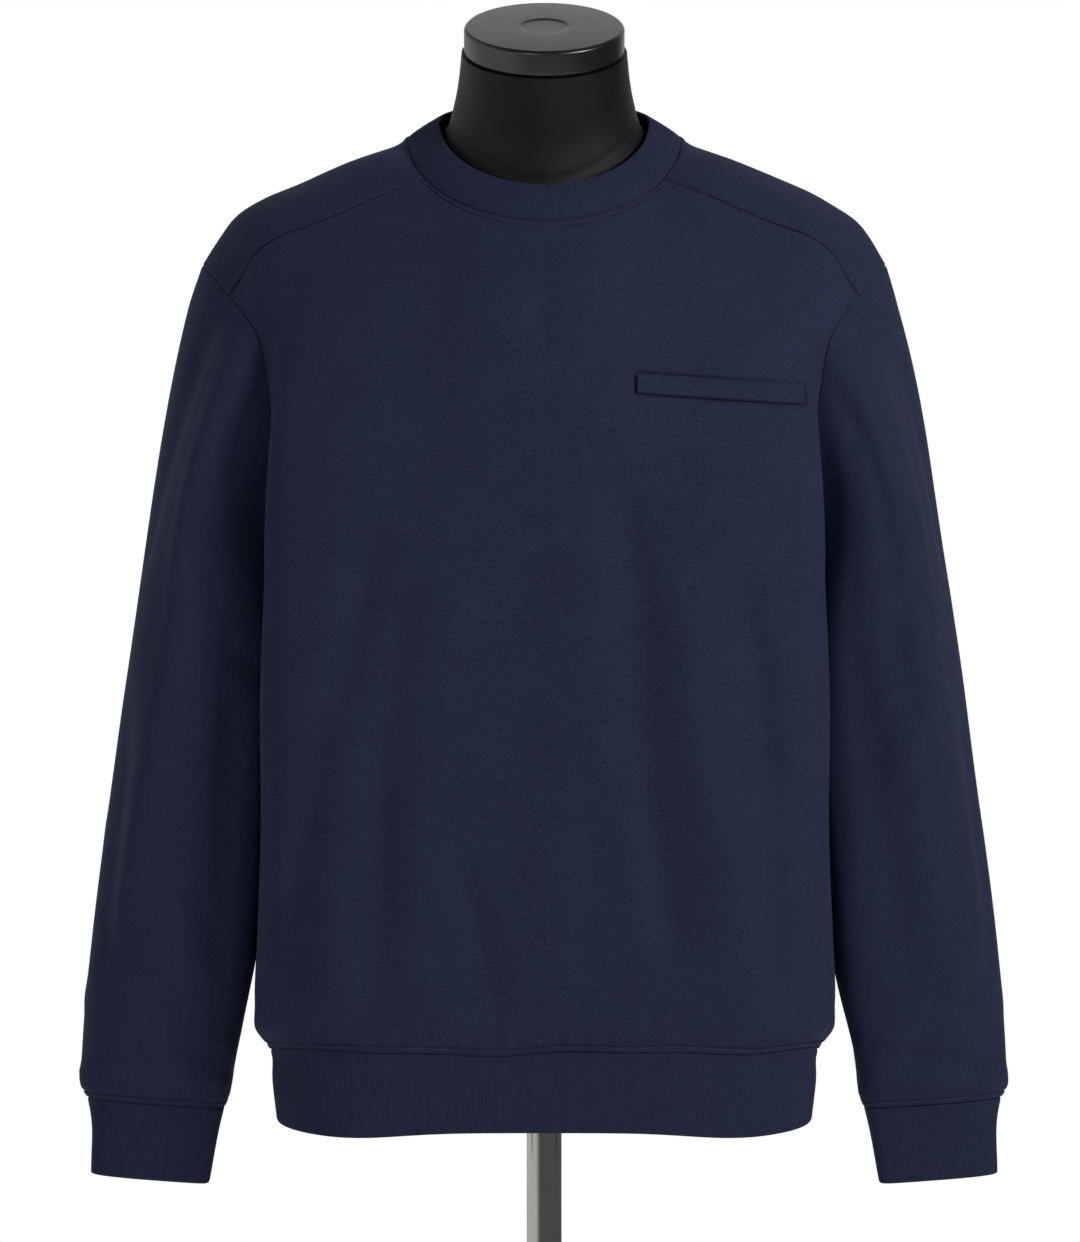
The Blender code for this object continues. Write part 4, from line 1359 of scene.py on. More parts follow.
@dataclass
class Panel:
    """The front or the back of the body, from the hem seam to the neck and yoke seams."""

    name: str
    node: str
    facing: int
    neck_columns: int
    yoke_columns: int
    lower_rows: int
    upper_rows: int
    folds: tuple[Fold, ...]
    swell: Swell
    cut: Pair
    cut_area: float
    origin: Pair
    thickness: float = 0.0014
    hem_crowding: float = 0.55
    top_crowding: float = 0.50
    swell_edge: float = 0.05
    gather: float = 0.00032
    gather_length: float = 0.0165
    gather_sway: float = 1.7
    gather_sways: float = 23.0
    gather_from: float = 0.006
    gather_kept: float = 0.010
    gather_fade: float = 0.030
    pinch: HemPinch = HemPinch()
    needle: float = 0.0050
    side_needle: float = 0.0016
    soft_from: float = 0.012
    soft_columns: float = 16.0
    soft_passes: int = 90
    fold_share: float = 0.80
    least_drop: float = 0.001

    def shares(self) -> Array:
        """Where the columns stand on a level section: two even spans, neck and yoke."""
        neck = np.linspace(0, BodyShape.neck_share, self.neck_columns + 1)[:-1]
        return np.concatenate([neck, np.linspace(BodyShape.neck_share, 1, self.yoke_columns + 1)])

    def front_upper(self, shape: BodyShape, lower: Array) -> Array:
        """Cubic columns from the underarm level to the neckline and the yoke seam.

        Args:
            shape: the shared sections.
            lower: the part below.

        Returns:
            Half the part above, from its centre.
        """
        turns = np.linspace(0, shape.corner_turn, self.neck_columns + 1)[:-1]
        neck = shape.neck_ring(shape.neck_seam, turns)
        yoke = along(shape.yoke_seam, self.yoke_columns)
        near_corner = (turns / shape.corner_turn)[:, None]
        lean = (1 - near_corner) * np.array(shape.neck_front_way) + near_corner * yoke[0, 3:]
        top = np.concatenate([neck, yoke[:, :3]])
        arrive = unit(np.concatenate([lean, yoke[:, 3:]]))
        leave = np.array([0.0, -shape.body_lean, 1.0]) + 0 * top
        return hermite(lower[-1], top, leave, arrive)

    def back_upper(self, shape: BodyShape, lower: Array) -> Array:
        """Columns that rise to the shoulder line and fall over it to the yoke seam.

        A crossing column heads for its own end, level across the shoulder line; those
        behind the neck end at the neckline.

        Args:
            shape: the shared sections.
            lower: the part below.

        Returns:
            Half the part above, from its centre.
        """
        turns = np.linspace(math.pi, shape.corner_turn, self.neck_columns + 1)[:-1]
        neck = shape.neck_ring(shape.neck_seam, turns)
        behind = np.clip(-np.cos(turns), 0, 1)[:, None]
        sidelong = (1 - behind) ** 2
        neck_arrive = (1 - sidelong) * np.array(shape.neck_back_way)
        neck_arrive = neck_arrive + sidelong * np.array(shape.neck_side_way)
        beyond = np.clip(np.cos(turns) / math.cos(shape.corner_turn), 0, 1)
        yoke = along(shape.yoke_seam, self.yoke_columns)
        top = np.concatenate([neck, yoke[:, :3]])
        arrive = np.concatenate([neck_arrive, -yoke[:, 3:]])
        corner = shape.ridge_at_corner
        crossing = np.concatenate([corner * beyond, np.linspace(corner, 1, self.yoke_columns + 1)])
        crosses = (crossing > 0)[:, None]
        line = np.array(shape.shoulder_line)
        run = lengths(line)
        dense = smooth(run, line, np.linspace(0, run[-1], SECTION_STEPS))
        found = resample(np.concatenate([dense, np.gradient(dense, axis=0)], axis=1), crossing)
        ridge, along_ridge = found[:, :3], unit(found[:, 3:])
        ridge = np.where(crosses, ridge, top)
        sideways = (top - ridge)[:, :1] / np.maximum(-(top - ridge)[:, 1:2], self.least_drop)
        most = shape.most_sideways
        sideways = np.clip(sideways, -most, most) * (1 - crossing[:, None])
        beside_neck = shape.neck_side_way[0] / -shape.neck_side_way[1]
        share = beyond[:, None]
        count = len(neck)
        sideways[:count] = (1 - share) * beside_neck + share * sideways[count]
        over = np.array([0.0, -1.0, 0.0]) + sideways * along_ridge / along_ridge[:, :1]
        size = np.linalg.norm(over, axis=1, keepdims=True)
        over = over * np.minimum(1, shape.longest_crossing / size)
        seam_way = np.gradient(yoke[:, :3], axis=0)
        arrive[count:] += shape.yoke_slant * sideways[count:] * seam_way / seam_way[:, :1]
        arrive[:count] = (1 - share) * neck_arrive + share * arrive[count]
        ridge_way = np.where(crosses, shape.crossing_pull * over, arrive)
        leave = np.array([0.0, shape.body_lean, 1.0]) + 0 * top
        rise = hermite(lower[-1], ridge, leave, ridge_way)
        fall = hermite(ridge, top, ridge_way, arrive)
        return np.concatenate([rise, fall[1:]])

    def surface(self, shape: BodyShape) -> Array:
        """The full-width panel with its folds, columns from right to left, as points.

        Args:
            shape: the shared sections.

        Returns:
            Points (rows, columns, 3) from the hem up.
        """
        shares = self.shares()
        lower = shape.lower_body(shares, self.facing)
        front = self.facing < 0
        upper = self.front_upper(shape, lower) if front else self.back_upper(shape, lower)
        below = rows_of(lower, crowded(self.lower_rows, -self.hem_crowding))
        guide = rows_of(upper, np.linspace(0, 1, 2 * self.upper_rows + 1))
        edge = along(shape.armhole_front if front else shape.armhole_back, self.upper_rows)
        above = fitted(guide, crowded(self.upper_rows, self.top_crowding), shares, edge)
        points = both_halves(np.concatenate([below, above[1:]]))
        return self.softened(points)

    def softened(self, points: Array) -> Array:
        """The points with the kinks below the neck's corners smoothed away.

        Each pass moves a point towards the mean of its neighbours, in step with a weight
        that is full near the corner's column, away from the panel's edges.

        Args:
            points: the panel's grid.

        Returns:
            The smoothed grid.
        """
        from_top = lengths(points)[-1] - lengths(points)
        column = np.abs(np.arange(points.shape[1]) - points.shape[1] // 2) - self.neck_columns
        weight = eased(from_top / self.soft_from) * np.exp(-((column / self.soft_columns) ** 2))
        weight = weight[1:-1, 1:-1, None] / 4
        points = points.copy()
        for _ in range(self.soft_passes):
            inner = points[1:-1, 1:-1]
            around = points[2:, 1:-1] + points[:-2, 1:-1] + points[1:-1, 2:] + points[1:-1, :-2]
            points[1:-1, 1:-1] = inner + weight * (around - 4 * inner)
        return points

    def refined(self, points: Array) -> Array:
        """Extra rows and columns where seams run."""
        return stepped(stepped(points, 0, True, True, gap=SEAM_HALF_GAP), 1, True, True)

    def draped(self, points: Array) -> Array:
        """The points moved out along Y by the folds, which end before the sides.

        Args:
            points: the panel's grid.

        Returns:
            The folded grid.
        """
        x, y, z = points[..., 0], points[..., 1], points[..., 2]
        lift = self.fold_share * sum(fold.lift(x, z) for fold in self.folds)
        inside = np.clip((FOLDS_END_X - np.abs(x)) / FOLD_EDGE, 0, 1)
        lift = np.where(y * self.facing > FOLDS_FROM_Y, lift * inside, 0)
        moved = points.copy()
        moved[..., 1] += self.facing * lift
        return moved

    def grid(self, shape: BodyShape) -> ClothGrid:
        """The finished outer face, with seam ridges, gathers over the hem and swell.

        Args:
            shape: the shared sections.

        Returns:
            The face, its first row at the hem seam.
        """
        points = self.draped(self.refined(self.surface(shape)))
        points = self.pinch.drawn(points, shape.hem_seam_z)
        if self.facing > 0:
            points = points[:, ::-1]
        cloth = ClothGrid(points)
        up, left = cloth.down(), cloth.across()
        from_hem, from_top = up, up[-1] - up
        from_side = np.minimum(left, left[:, -1:] - left)
        beside_neck = shape.beside_neck(points[-1])
        top = np.where(beside_neck, COVERED_SEAM.height(from_top), PLAIN_SEAM.height(from_top))
        ends = np.minimum(COVERED_SEAM.height(from_hem), top)
        height = np.minimum(ends, sewn_edge(from_side))
        inside = np.minimum(np.minimum(from_hem, from_top), from_side)
        u = left - left[:, -1:] / 2
        height = height + eased(inside / self.swell_edge) * self.swell.lift(u, up)
        sway = self.gather_sway * np.sin(u * self.gather_sways)
        wave = np.sin(math.tau * u / self.gather_length + sway)
        gone = eased((from_hem - self.gather_kept) / self.gather_fade)
        fade = eased(from_hem / self.gather_from) * (1 - gone)
        height = height + self.gather * wave * fade
        return cloth.lifted(height)

    def build(self, wardrobe: Wardrobe) -> Piece:
        """The panel as a closed shell that stands for its solid.

        Args:
            wardrobe: the shape and finishes.

        Returns:
            The piece.
        """
        self.cloth = self.grid(wardrobe.shape)
        middle = self.cloth.points.shape[1] // 2
        piece = cloth_shell(self.name, self.cloth, wardrobe.knit, self.thickness, middle, self.origin)
        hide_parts(self.node)
        lines = self.stitch_lines(wardrobe.shape)
        stitches = Stitching().build(self.name + "_stitches", lines, wardrobe.thread)
        return piece

    def stitch_lines(self, shape: BodyShape) -> list[tuple[Array, Array]]:
        """Lines of stitches: along the hem seam, under the neck seam, beside each armhole.

        Args:
            shape: the shared sections.

        Returns:
            Points and normals of each line.
        """
        cloth = self.cloth
        lines = [cloth.line(self.needle, False)]
        points, normals = cloth.line(self.needle, True)
        beside = shape.beside_neck(cloth.points[-1])
        lines.append((points[beside], normals[beside]))
        above = cloth.points[:, 0, 2] > shape.underarm_z
        turned = ClothGrid(np.swapaxes(cloth.points, 0, 1))
        for from_end in (False, True):
            points, normals = turned.line(self.side_needle, from_end)
            lines.append((points[above], -normals[above]))
        return lines


@dataclass
class Welt:
    """The chest pocket's welt: corners in X and Z, and the cloth's groove round it."""

    inner_top: Pair = (0.0632, 1.2913)
    outer_top: Pair = (0.1800, 1.2828)
    depth: float = 0.0142
    gap: float = 0.0006
    groove: float = 0.0022
    groove_width: float = 0.0012
    groove_at: float = 0.0003
    rise: float = 0.0012
    clear: float = 0.0002
    round_share: float = 0.05
    round_power: float = 2.5
    level_z: float = 1.285
    around: float = 0.05
    from_x: float = 0.03
    neighbours: int = 12
    nearness: float = 3.0
    softness: float = 1e-7
    columns: int = 150
    rows: int = 16
    thickness: float = 0.0009
    cut: Pair = (0.122, 0.0155)
    origin: Pair = (0.4, 2.0)

    def length(self) -> float:
        """The welt's length along X."""
        return self.outer_top[0] - self.inner_top[0]

    def top(self, s: Array) -> Array:
        """Height of its upper edge at share s along it."""
        return self.inner_top[1] + (self.outer_top[1] - self.inner_top[1]) * s

    def place(self, s: Array, t: Array) -> tuple[Array, Array]:
        """X and Z at share s along the welt and t up its depth, on its slanted frame."""
        return self.inner_top[0] + self.length() * s, self.top(s) - self.depth * (1 - t)

    def outside(self, x: Array, z: Array) -> Array:
        """Distance from the welt's outline, negative inside, on its slanted frame.

        Args:
            x: places across.
            z: heights.

        Returns:
            The distances.
        """
        s = (x - self.inner_top[0]) / self.length()
        half = self.depth / 2
        over = np.abs(z - (self.top(s) - half)) - half
        beside = (np.abs(s - 0.5) - 0.5) * self.length()
        apart = np.hypot(np.maximum(over, 0), np.maximum(beside, 0))
        return np.where(np.maximum(over, beside) > 0, apart, np.maximum(over, beside))

    def sink(self, x: Array, z: Array) -> Array:
        """How far the cloth sinks round the welt: a groove at its outline."""
        return self.groove * bump(self.outside(x, z), self.groove_at, self.groove_width)

    def build(self, wardrobe: Wardrobe, front: ClothGrid) -> Piece:
        """The welt as a shell on planes through the nearest points of the front.

        Each plane counts by its point's distance ** -nearness; over rounded edges the
        welt rises by rise * (1 - edge ** round_power).

        Args:
            wardrobe: the shape and finishes.
            front: the front's face without the groove.

        Returns:
            The piece.
        """
        inset = self.gap / self.depth
        up, across = np.linspace(inset, 1 - inset, self.rows), np.linspace(0, 1, self.columns)
        t, s = np.meshgrid(up, across, indexing="ij")
        length = self.length()
        s = self.gap / length + s * (1 - 2 * self.gap / length)
        x, z = self.place(s, t)
        near = (front.points[..., 1] < 0) & (front.points[..., 0] > self.from_x)
        near &= np.abs(front.points[..., 2] - self.level_z) < self.around
        base, normals = front.points[near], front.normals()[near]
        smooth_there = np.abs(self.outside(base[:, 0], base[:, 2])) > 3 * self.groove_width
        base, normals = base[smooth_there], normals[smooth_there]
        target = np.stack([x, z], axis=-1).reshape(-1, 1, 2)
        away = np.linalg.norm(target - base[None][..., [0, 2]], axis=-1)
        share = 1 / (away**2 + self.softness) ** (self.nearness / 2)
        nearest = np.argsort(away, axis=1)[:, : self.neighbours]
        share = np.take_along_axis(share, nearest, axis=1)
        share /= share.sum(axis=1, keepdims=True)
        gap = target - base[nearest][..., [0, 2]]
        n = normals[nearest]
        y = base[nearest][..., 1] - (n[..., 0] * gap[..., 0] + n[..., 2] * gap[..., 1]) / n[..., 1]
        y = (y * share).sum(axis=1).reshape(x.shape)
        cloth = ClothGrid(np.stack([x, y, z], axis=-1))
        edge_t = np.clip(1 - np.minimum(t - inset, 1 - inset - t) / self.round_share, 0, 1)
        ends = np.minimum(s, 1 - s) * length / (self.round_share * self.depth)
        edge_s = np.clip(1 - ends, 0, 1)
        height = self.rise * (1 - np.maximum(edge_t, edge_s) ** self.round_power) + self.clear
        cloth = cloth.lifted(height)
        piece = cloth_shell("pocket_welt_knit", cloth, wardrobe.knit, self.thickness, 0, self.origin)
        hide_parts("pocket_welt")
        return piece


@dataclass
class FrontPanel(Panel):
    """The front, with the groove round the chest pocket's welt."""

    welt: Welt = field(default_factory=Welt)
    lip: SideLip = SideLip()
    welt_middle: Pair = (0.12, 1.28)
    welt_margin: float = 0.005
    welt_row_step: float = 0.0008
    welt_column_step: float = 0.0009

    def refined(self, points: Array) -> Array:
        """Extra rows and columns at seams and where the welt's groove runs.

        Args:
            points: the panel's grid.

        Returns:
            The finer grid.
        """
        middle_x, middle_z = self.welt_middle
        margin = self.welt_margin
        middle_row = int(np.abs(points[:, points.shape[1] // 2, 2] - middle_z).argmin())
        run = lengths(points).mean(axis=1)
        bounds = []
        for x, top in (self.welt.inner_top, self.welt.outer_top):
            column = int(np.abs(points[middle_row, :, 0] - x).argmin())
            edges = (top - self.welt.depth - margin, top + margin)
            bounds.extend(np.interp(edges, points[:, column, 2], run))
        span = (min(bounds), max(bounds), self.welt_row_step)
        points = stepped(points, 0, True, True, (span,), SEAM_HALF_GAP)
        column = int(np.abs(points[points.shape[0] // 2, :, 0] - middle_x).argmin())
        row = int(np.abs(points[:, column, 2] - middle_z).argmin())
        run = lengths(np.swapaxes(points, 0, 1)).mean(axis=1)
        ends = []
        for x in (self.welt.inner_top[0], self.welt.outer_top[0]):
            middle = float(np.interp(x, points[row, :, 0], run))
            ends.append((middle - margin, middle + margin, self.welt_column_step))
        return stepped(points, 1, True, True, tuple(ends))

    def grid(self, shape: BodyShape) -> ClothGrid:
        """The front's outer face, sunk round the welt.

        Args:
            shape: the shared sections.

        Returns:
            The face, its first row at the hem seam.
        """
        cloth = super().grid(shape)
        lift = self.lip.lift(*np.moveaxis(cloth.points, 2, 0))
        out, ahead = self.lip.way
        cloth.points[..., 0] += np.sign(cloth.points[..., 0]) * out * lift
        cloth.points[..., 1] += ahead * lift
        x, z = cloth.points[..., 0], cloth.points[..., 2]
        self.unsunk = cloth
        return cloth.lifted(-self.welt.sink(x, z))


@dataclass(frozen=True)
class SleeveFold:
    """A soft fold on a sleeve: its line in turn and height, its reach in turn.

    Turn 0 faces the body, pi/2 the front and pi the outside.
    """

    top_turn: float
    top_z: float
    foot_turn: float
    foot_z: float
    reach: float
    height: float

    RUN_ON = 0.62
    FADE = 0.3

    def lift(self, turn: Array, z: Array) -> Array:
        """height * fade(t) * exp(-((turn - line) / reach) ** 2), wrapped round the sleeve.

        Args:
            turn: turns round the sleeve.
            z: heights.

        Returns:
            How far out the fold stands there.
        """
        t = (self.top_z - z) / (self.top_z - self.foot_z)
        line = self.top_turn + (self.foot_turn - self.top_turn) * t
        away = (turn - line + math.pi) % math.tau - math.pi
        fade = eased((self.RUN_ON - np.abs(t - 0.5)) / self.FADE)
        return self.height * fade * np.exp(-((away / self.reach) ** 2))


@dataclass(frozen=True)
class Crease:
    """A soft crease round part of a sleeve: its height, slant and the turns it spans."""

    z: float
    slant: float
    turn: float
    span: float
    reach: float
    height: float

    def lift(self, turn: Array, z: Array) -> Array:
        """height * exp(-((z - line) / reach) ** 2) * exp(-(away / span) ** 2).

        Args:
            turn: turns round the sleeve.
            z: heights.

        Returns:
            How far out the crease stands there.
        """
        away = (turn - self.turn + math.pi) % math.tau - math.pi
        line = self.z + self.slant * away
        return self.height * bump(z, line, self.reach) * np.exp(-((away / self.span) ** 2))


SLEEVE_FOLDS = (
    SleeveFold(2.30, 1.330, 2.10, 1.120, 0.16, 0.0020),
    SleeveFold(2.75, 1.320, 2.85, 1.150, 0.14, -0.0016),
    SleeveFold(1.75, 1.290, 1.60, 1.060, 0.20, -0.0022),
    SleeveFold(2.00, 1.120, 2.40, 0.900, 0.24, 0.0026),
    SleeveFold(1.30, 1.080, 1.50, 0.860, 0.22, -0.0022),
    SleeveFold(2.70, 1.060, 2.60, 0.860, 0.22, -0.0018),
    SleeveFold(4.10, 1.320, 4.30, 1.060, 0.22, -0.0026),
    SleeveFold(3.60, 1.200, 3.70, 0.920, 0.20, 0.0020),
    SleeveFold(4.70, 1.120, 4.50, 0.880, 0.24, -0.0024),
)
SLEEVE_CREASES = (
    Crease(0.792, 0.0030, 1.60, 0.85, 0.0050, 0.0016),
    Crease(0.806, -0.0060, 1.95, 0.80, 0.0055, -0.0014),
    Crease(0.820, 0.0100, 1.35, 0.70, 0.0065, 0.0015),
    Crease(0.842, -0.0120, 2.20, 0.60, 0.0080, -0.0013),
    Crease(0.870, 0.0180, 1.60, 0.55, 0.0100, 0.0012),
    Crease(0.800, 0.0080, 4.40, 1.00, 0.0060, 0.0020),
    Crease(0.822, -0.0080, 4.90, 0.90, 0.0070, -0.0018),
    Crease(0.860, 0.0140, 4.30, 0.80, 0.0100, 0.0018),
    Crease(1.085, 0.0300, 1.20, 0.60, 0.0130, -0.0016),
    Crease(1.040, -0.0260, 4.80, 0.80, 0.0140, -0.0020),
    Crease(0.990, 0.0200, 4.50, 0.80, 0.0120, 0.0016),
)
# A sleeve's fullness beside the body and the hollow in front of it, as shares of the arm's own
BODY_SIDE_FOLDS = (
    SleeveFold(0.58, 1.320, 0.60, 0.930, 0.20, 1.0),
    SleeveFold(1.15, 1.300, 1.20, 0.960, 0.22, -0.4),
)


@dataclass
class Arm:
    """A sleeve and its cuff, from cross-sections (z, outer, inner, front, back, squareness,
    tilt in degrees); the sleeve leaves the armhole outwards and falls."""

    side: Side
    swell: Swell
    fullness: float
    fold_shift: float
    inner_square: float = 2.2
    sleeve_cut: Pair = (0.580, 0.600)
    sleeve_area: float = 0.196
    cuff_cut: Pair = (0.236, 0.056)
    tip: Numbers = (0.2410, 0.0080, 1.3638)
    spread: float = 0.77
    turn: float = 0.45
    fall: float = 0.55
    steeper: float = 0.45
    cap_swell: float = 0.22
    trim: float = 0.0022
    front_columns: int = 54
    back_columns: int = 78
    rows: int = 132
    fold_edge: float = 0.035
    fold_share: float = 1.6
    crease_edge: float = 0.010
    crease_share: float = 1.5
    needle: float = 0.0050
    thickness: float = 0.0014
    sleeve_origin: float = 6.0
    sleeve_cuts: Table = (
        (1.110, 0.2900, 0.1925, -0.0750, 0.0800, 2.3, 6.0),
        (1.058, 0.2975, 0.1940, -0.0740, 0.0660, 2.3, 6.5),
        (0.987, 0.3070, 0.1975, -0.0700, 0.0520, 2.3, 7.0),
        (0.916, 0.3165, 0.2015, -0.0660, 0.0380, 2.3, 7.0),
        (0.873, 0.3216, 0.2070, -0.0620, 0.0300, 2.3, 7.0),
        (0.830, 0.3261, 0.2167, -0.0570, 0.0200, 2.3, 6.5),
        (0.800, 0.3280, 0.2230, -0.0520, 0.0100, 2.3, 5.5),
        (0.788, 0.3290, 0.2240, -0.0490, 0.0050, 2.3, 4.5),
        (0.780, 0.3285, 0.2250, -0.0465, 0.0020, 2.3, 4.0),
        (0.774, 0.3250, 0.2275, -0.0435, -0.0010, 2.4, 4.0),
    )
    cuff_cuts: Table = (
        (0.774, 0.3250, 0.2275, -0.0435, -0.0010, 2.4, 4.0),
        (0.760, 0.3225, 0.2310, -0.0410, -0.0040, 2.5, 4.5),
        (0.720, 0.3225, 0.2385, -0.0380, -0.0090, 2.6, 4.5),
    )
    cuff_rows: int = 19
    cuff_thickness: float = 0.0024
    cuff_origin: float = 12.0
    ribs: int = 92
    rib_columns: int = 4
    rib_depth: float = 0.00018

    def label(self) -> str:
        """left or right."""
        return self.side.name.lower()

    def ring(self, cut: Numbers, turns: Array) -> Array:
        """A cross-section's points; its X and Y are powers of cosine and sine, tilted.

        Args:
            cut: the cross-section.
            turns: angles round it.

        Returns:
            A point for each turn.
        """
        z, outer, inner, front, back, square, tilt = cut
        outer = outer - self.trim
        c, s = -np.cos(turns), -np.sin(turns)
        square = square + self.inner_square * eased(-c)
        x = np.sign(c) * np.abs(c) ** (2 / square) * (outer - inner) / 2
        y = np.sign(s) * np.abs(s) ** (2 / square) * (back - front) / 2
        up = z + x * math.tan(math.radians(tilt))
        return np.stack([(outer + inner) / 2 + x, (front + back) / 2 + y, up], axis=1)

    def tube(self, cuts: Table, turns: Array) -> Array:
        """A dense tube through cross-sections, one path for each turn.

        Args:
            cuts: cross-sections from the top down.
            turns: angles round them.

        Returns:
            Points (steps, turns, 3).
        """
        rings = np.stack([self.ring(cut, turns) for cut in cuts])
        keys = np.array([-cut[0] for cut in cuts])
        at = np.linspace(keys[0], keys[-1], GUIDE_STEPS)
        return smooth(keys, rings.reshape(len(cuts), -1), at).reshape(GUIDE_STEPS, len(turns), 3)

    def turns_of(self, loop: Array) -> Array:
        """The turn of each armhole point: 0 at the underarm, pi at the tip.

        Args:
            loop: the armhole's points.

        Returns:
            A turn for each point.
        """
        run = lengths(loop)
        tip = run[int(np.linalg.norm(loop - np.array(self.tip), axis=1).argmin())]
        return np.interp(run, [0, tip, run[-1]], [0, math.pi, math.tau])

    def placed(self, points: Array) -> Array:
        """The left arm's grid on this arm's side, its columns so that normals point out."""
        return points[:, ::-1] if self.side is Side.LEFT else points * OTHER_SIDE

    def sleeve_grid(self, shape: BodyShape) -> ClothGrid:
        """The sleeve's outer face, from the armhole seam to the cuff seam.

        Args:
            shape: the shared sections.

        Returns:
            The face, its first row at the armhole.
        """
        loop = shape.armhole_loop(self.front_columns, self.back_columns)
        turns = self.turns_of(loop)
        lower = self.tube(self.sleeve_cuts, turns)
        outward, side = -np.cos(turns), -np.sin(turns)
        sideways = self.spread - self.turn * outward
        down = self.fall + self.steeper * np.maximum(outward, 0)
        leave = unit(np.stack([sideways, self.cap_swell * side, -down], axis=1))
        upper = hermite(loop, lower[0], leave, unit(lower[1] - lower[0]))
        points = rows_of(np.concatenate([upper, lower[1:]]), np.linspace(0, 1, self.rows + 1))
        points = stepped(points, 0, True, True)[:, :-1]
        turn = turns[:-1]
        places = points[..., 2]
        cloth = ClothGrid(self.placed(points), True)
        if self.side is Side.LEFT:
            turn, places = turn[::-1], places[:, ::-1]
        along_it = cloth.down()
        from_top, from_cuff = along_it, along_it[-1] - along_it
        height = np.minimum(COVERED_SEAM.height(from_cuff), sewn_edge(from_top))
        inside = eased(np.minimum(from_top, from_cuff) / self.fold_edge)
        lift = sum(fold.lift(turn + self.fold_shift, places) for fold in SLEEVE_FOLDS)
        beside = self.fullness * sum(fold.lift(turn, places) for fold in BODY_SIDE_FOLDS)
        u = cloth.across() - cloth.round_length()[:, None] / 2
        height = height + inside * (self.fold_share * lift + beside + self.swell.lift(u, along_it))
        crease = sum(fold.lift(turn + 2 * self.fold_shift, places) for fold in SLEEVE_CREASES)
        height = height + self.crease_share * eased(from_cuff / self.crease_edge) * crease
        return cloth.lifted(height)

    def cuff_grid(self) -> ClothGrid:
        """The cuff's outer face, from its seam to its edge, with even ribs round it.

        Returns:
            The face, its first row at the seam.
        """
        count = self.ribs * self.rib_columns
        guide = self.tube(self.cuff_cuts, np.linspace(0, math.tau, 4 * count + 1))
        points = rows_of(even_rings(guide, count), np.linspace(0, 1, self.cuff_rows + 1))
        points = stepped(points, 0, True, False)
        return ribbed(ClothGrid(self.placed(points), True), self.rib_columns, self.rib_depth)

    def build(self, wardrobe: Wardrobe) -> list[Piece]:
        """The sleeve and the cuff as shells that stand for their solids.

        Args:
            wardrobe: the shape and finishes.

        Returns:
            The sleeve and the cuff.
        """
        name = self.label()
        self.sleeve = self.sleeve_grid(wardrobe.shape)
        sleeve = cloth_shell(
            f"sleeve_{name}_knit",
            self.sleeve,
            wardrobe.knit,
            self.thickness,
            self.sleeve.points.shape[1] // 2,
            (self.sleeve_origin + 2 * self.side.value, 0.0),
        )
        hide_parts(f"sleeve_{name}")
        lines = [self.sleeve.line(self.needle, True)]
        stitches = Stitching().build(f"sleeve_{name}_stitches", lines, wardrobe.thread)
        self.cuff = self.cuff_grid()
        origin = (self.cuff_origin + self.side.value, 0.0)
        cuff = cloth_shell(
            f"cuff_{name}_rib", self.cuff, wardrobe.rib, self.cuff_thickness, 0, origin, EDGE_ROWS
        )
        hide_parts(f"cuff_{name}")
        return [sleeve, cuff]


def ribbed(cloth: ClothGrid, rib_columns: int, depth: float) -> ClothGrid:
    """A closed band raised from its seam, with even ribs: depth * cosine of the rib.

    Args:
        cloth: the plain band, its columns even.
        rib_columns: columns to a rib.
        depth: half the height of a rib.

    Returns:
        The ribbed band.
    """
    away = cloth.down()
    rib = np.cos(math.tau * np.arange(cloth.points.shape[1]) / rib_columns)
    return cloth.lifted(BAND_SEAM.height(away) + depth * rib * eased(away / RIB_FADE))


@dataclass
class RibBand:
    """A closed rib band of even ribs, from its seam to its rounded free edge."""

    name: str
    node: str
    ribs: int
    rows: int
    origin: Pair
    cut: Pair
    held_by: tuple[str, ...]
    rib_columns: int = 4
    rib_depth: float = 0.00014
    thickness: float = 0.0026

    def face(self, rows: Array) -> ClothGrid:
        """The band's outer face on dense closed rings, its seam first.

        Args:
            rows: the rings (rows, points, 3), each first point repeated at the end.

        Returns:
            The face, with even ribs.
        """
        points = stepped(even_rings(rows, self.ribs * self.rib_columns), 0, True, False)
        return ribbed(ClothGrid(points, True), self.rib_columns, self.rib_depth)

    def finish(self, wardrobe: Wardrobe, cloth: ClothGrid) -> Piece:
        """The band as a closed shell that stands for its solid.

        Args:
            wardrobe: the shape and finishes.
            cloth: the band's face.

        Returns:
            The piece.
        """
        piece = cloth_shell(
            self.name, cloth, wardrobe.rib, self.thickness, 0, self.origin, EDGE_ROWS
        )
        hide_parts(self.node)
        return piece


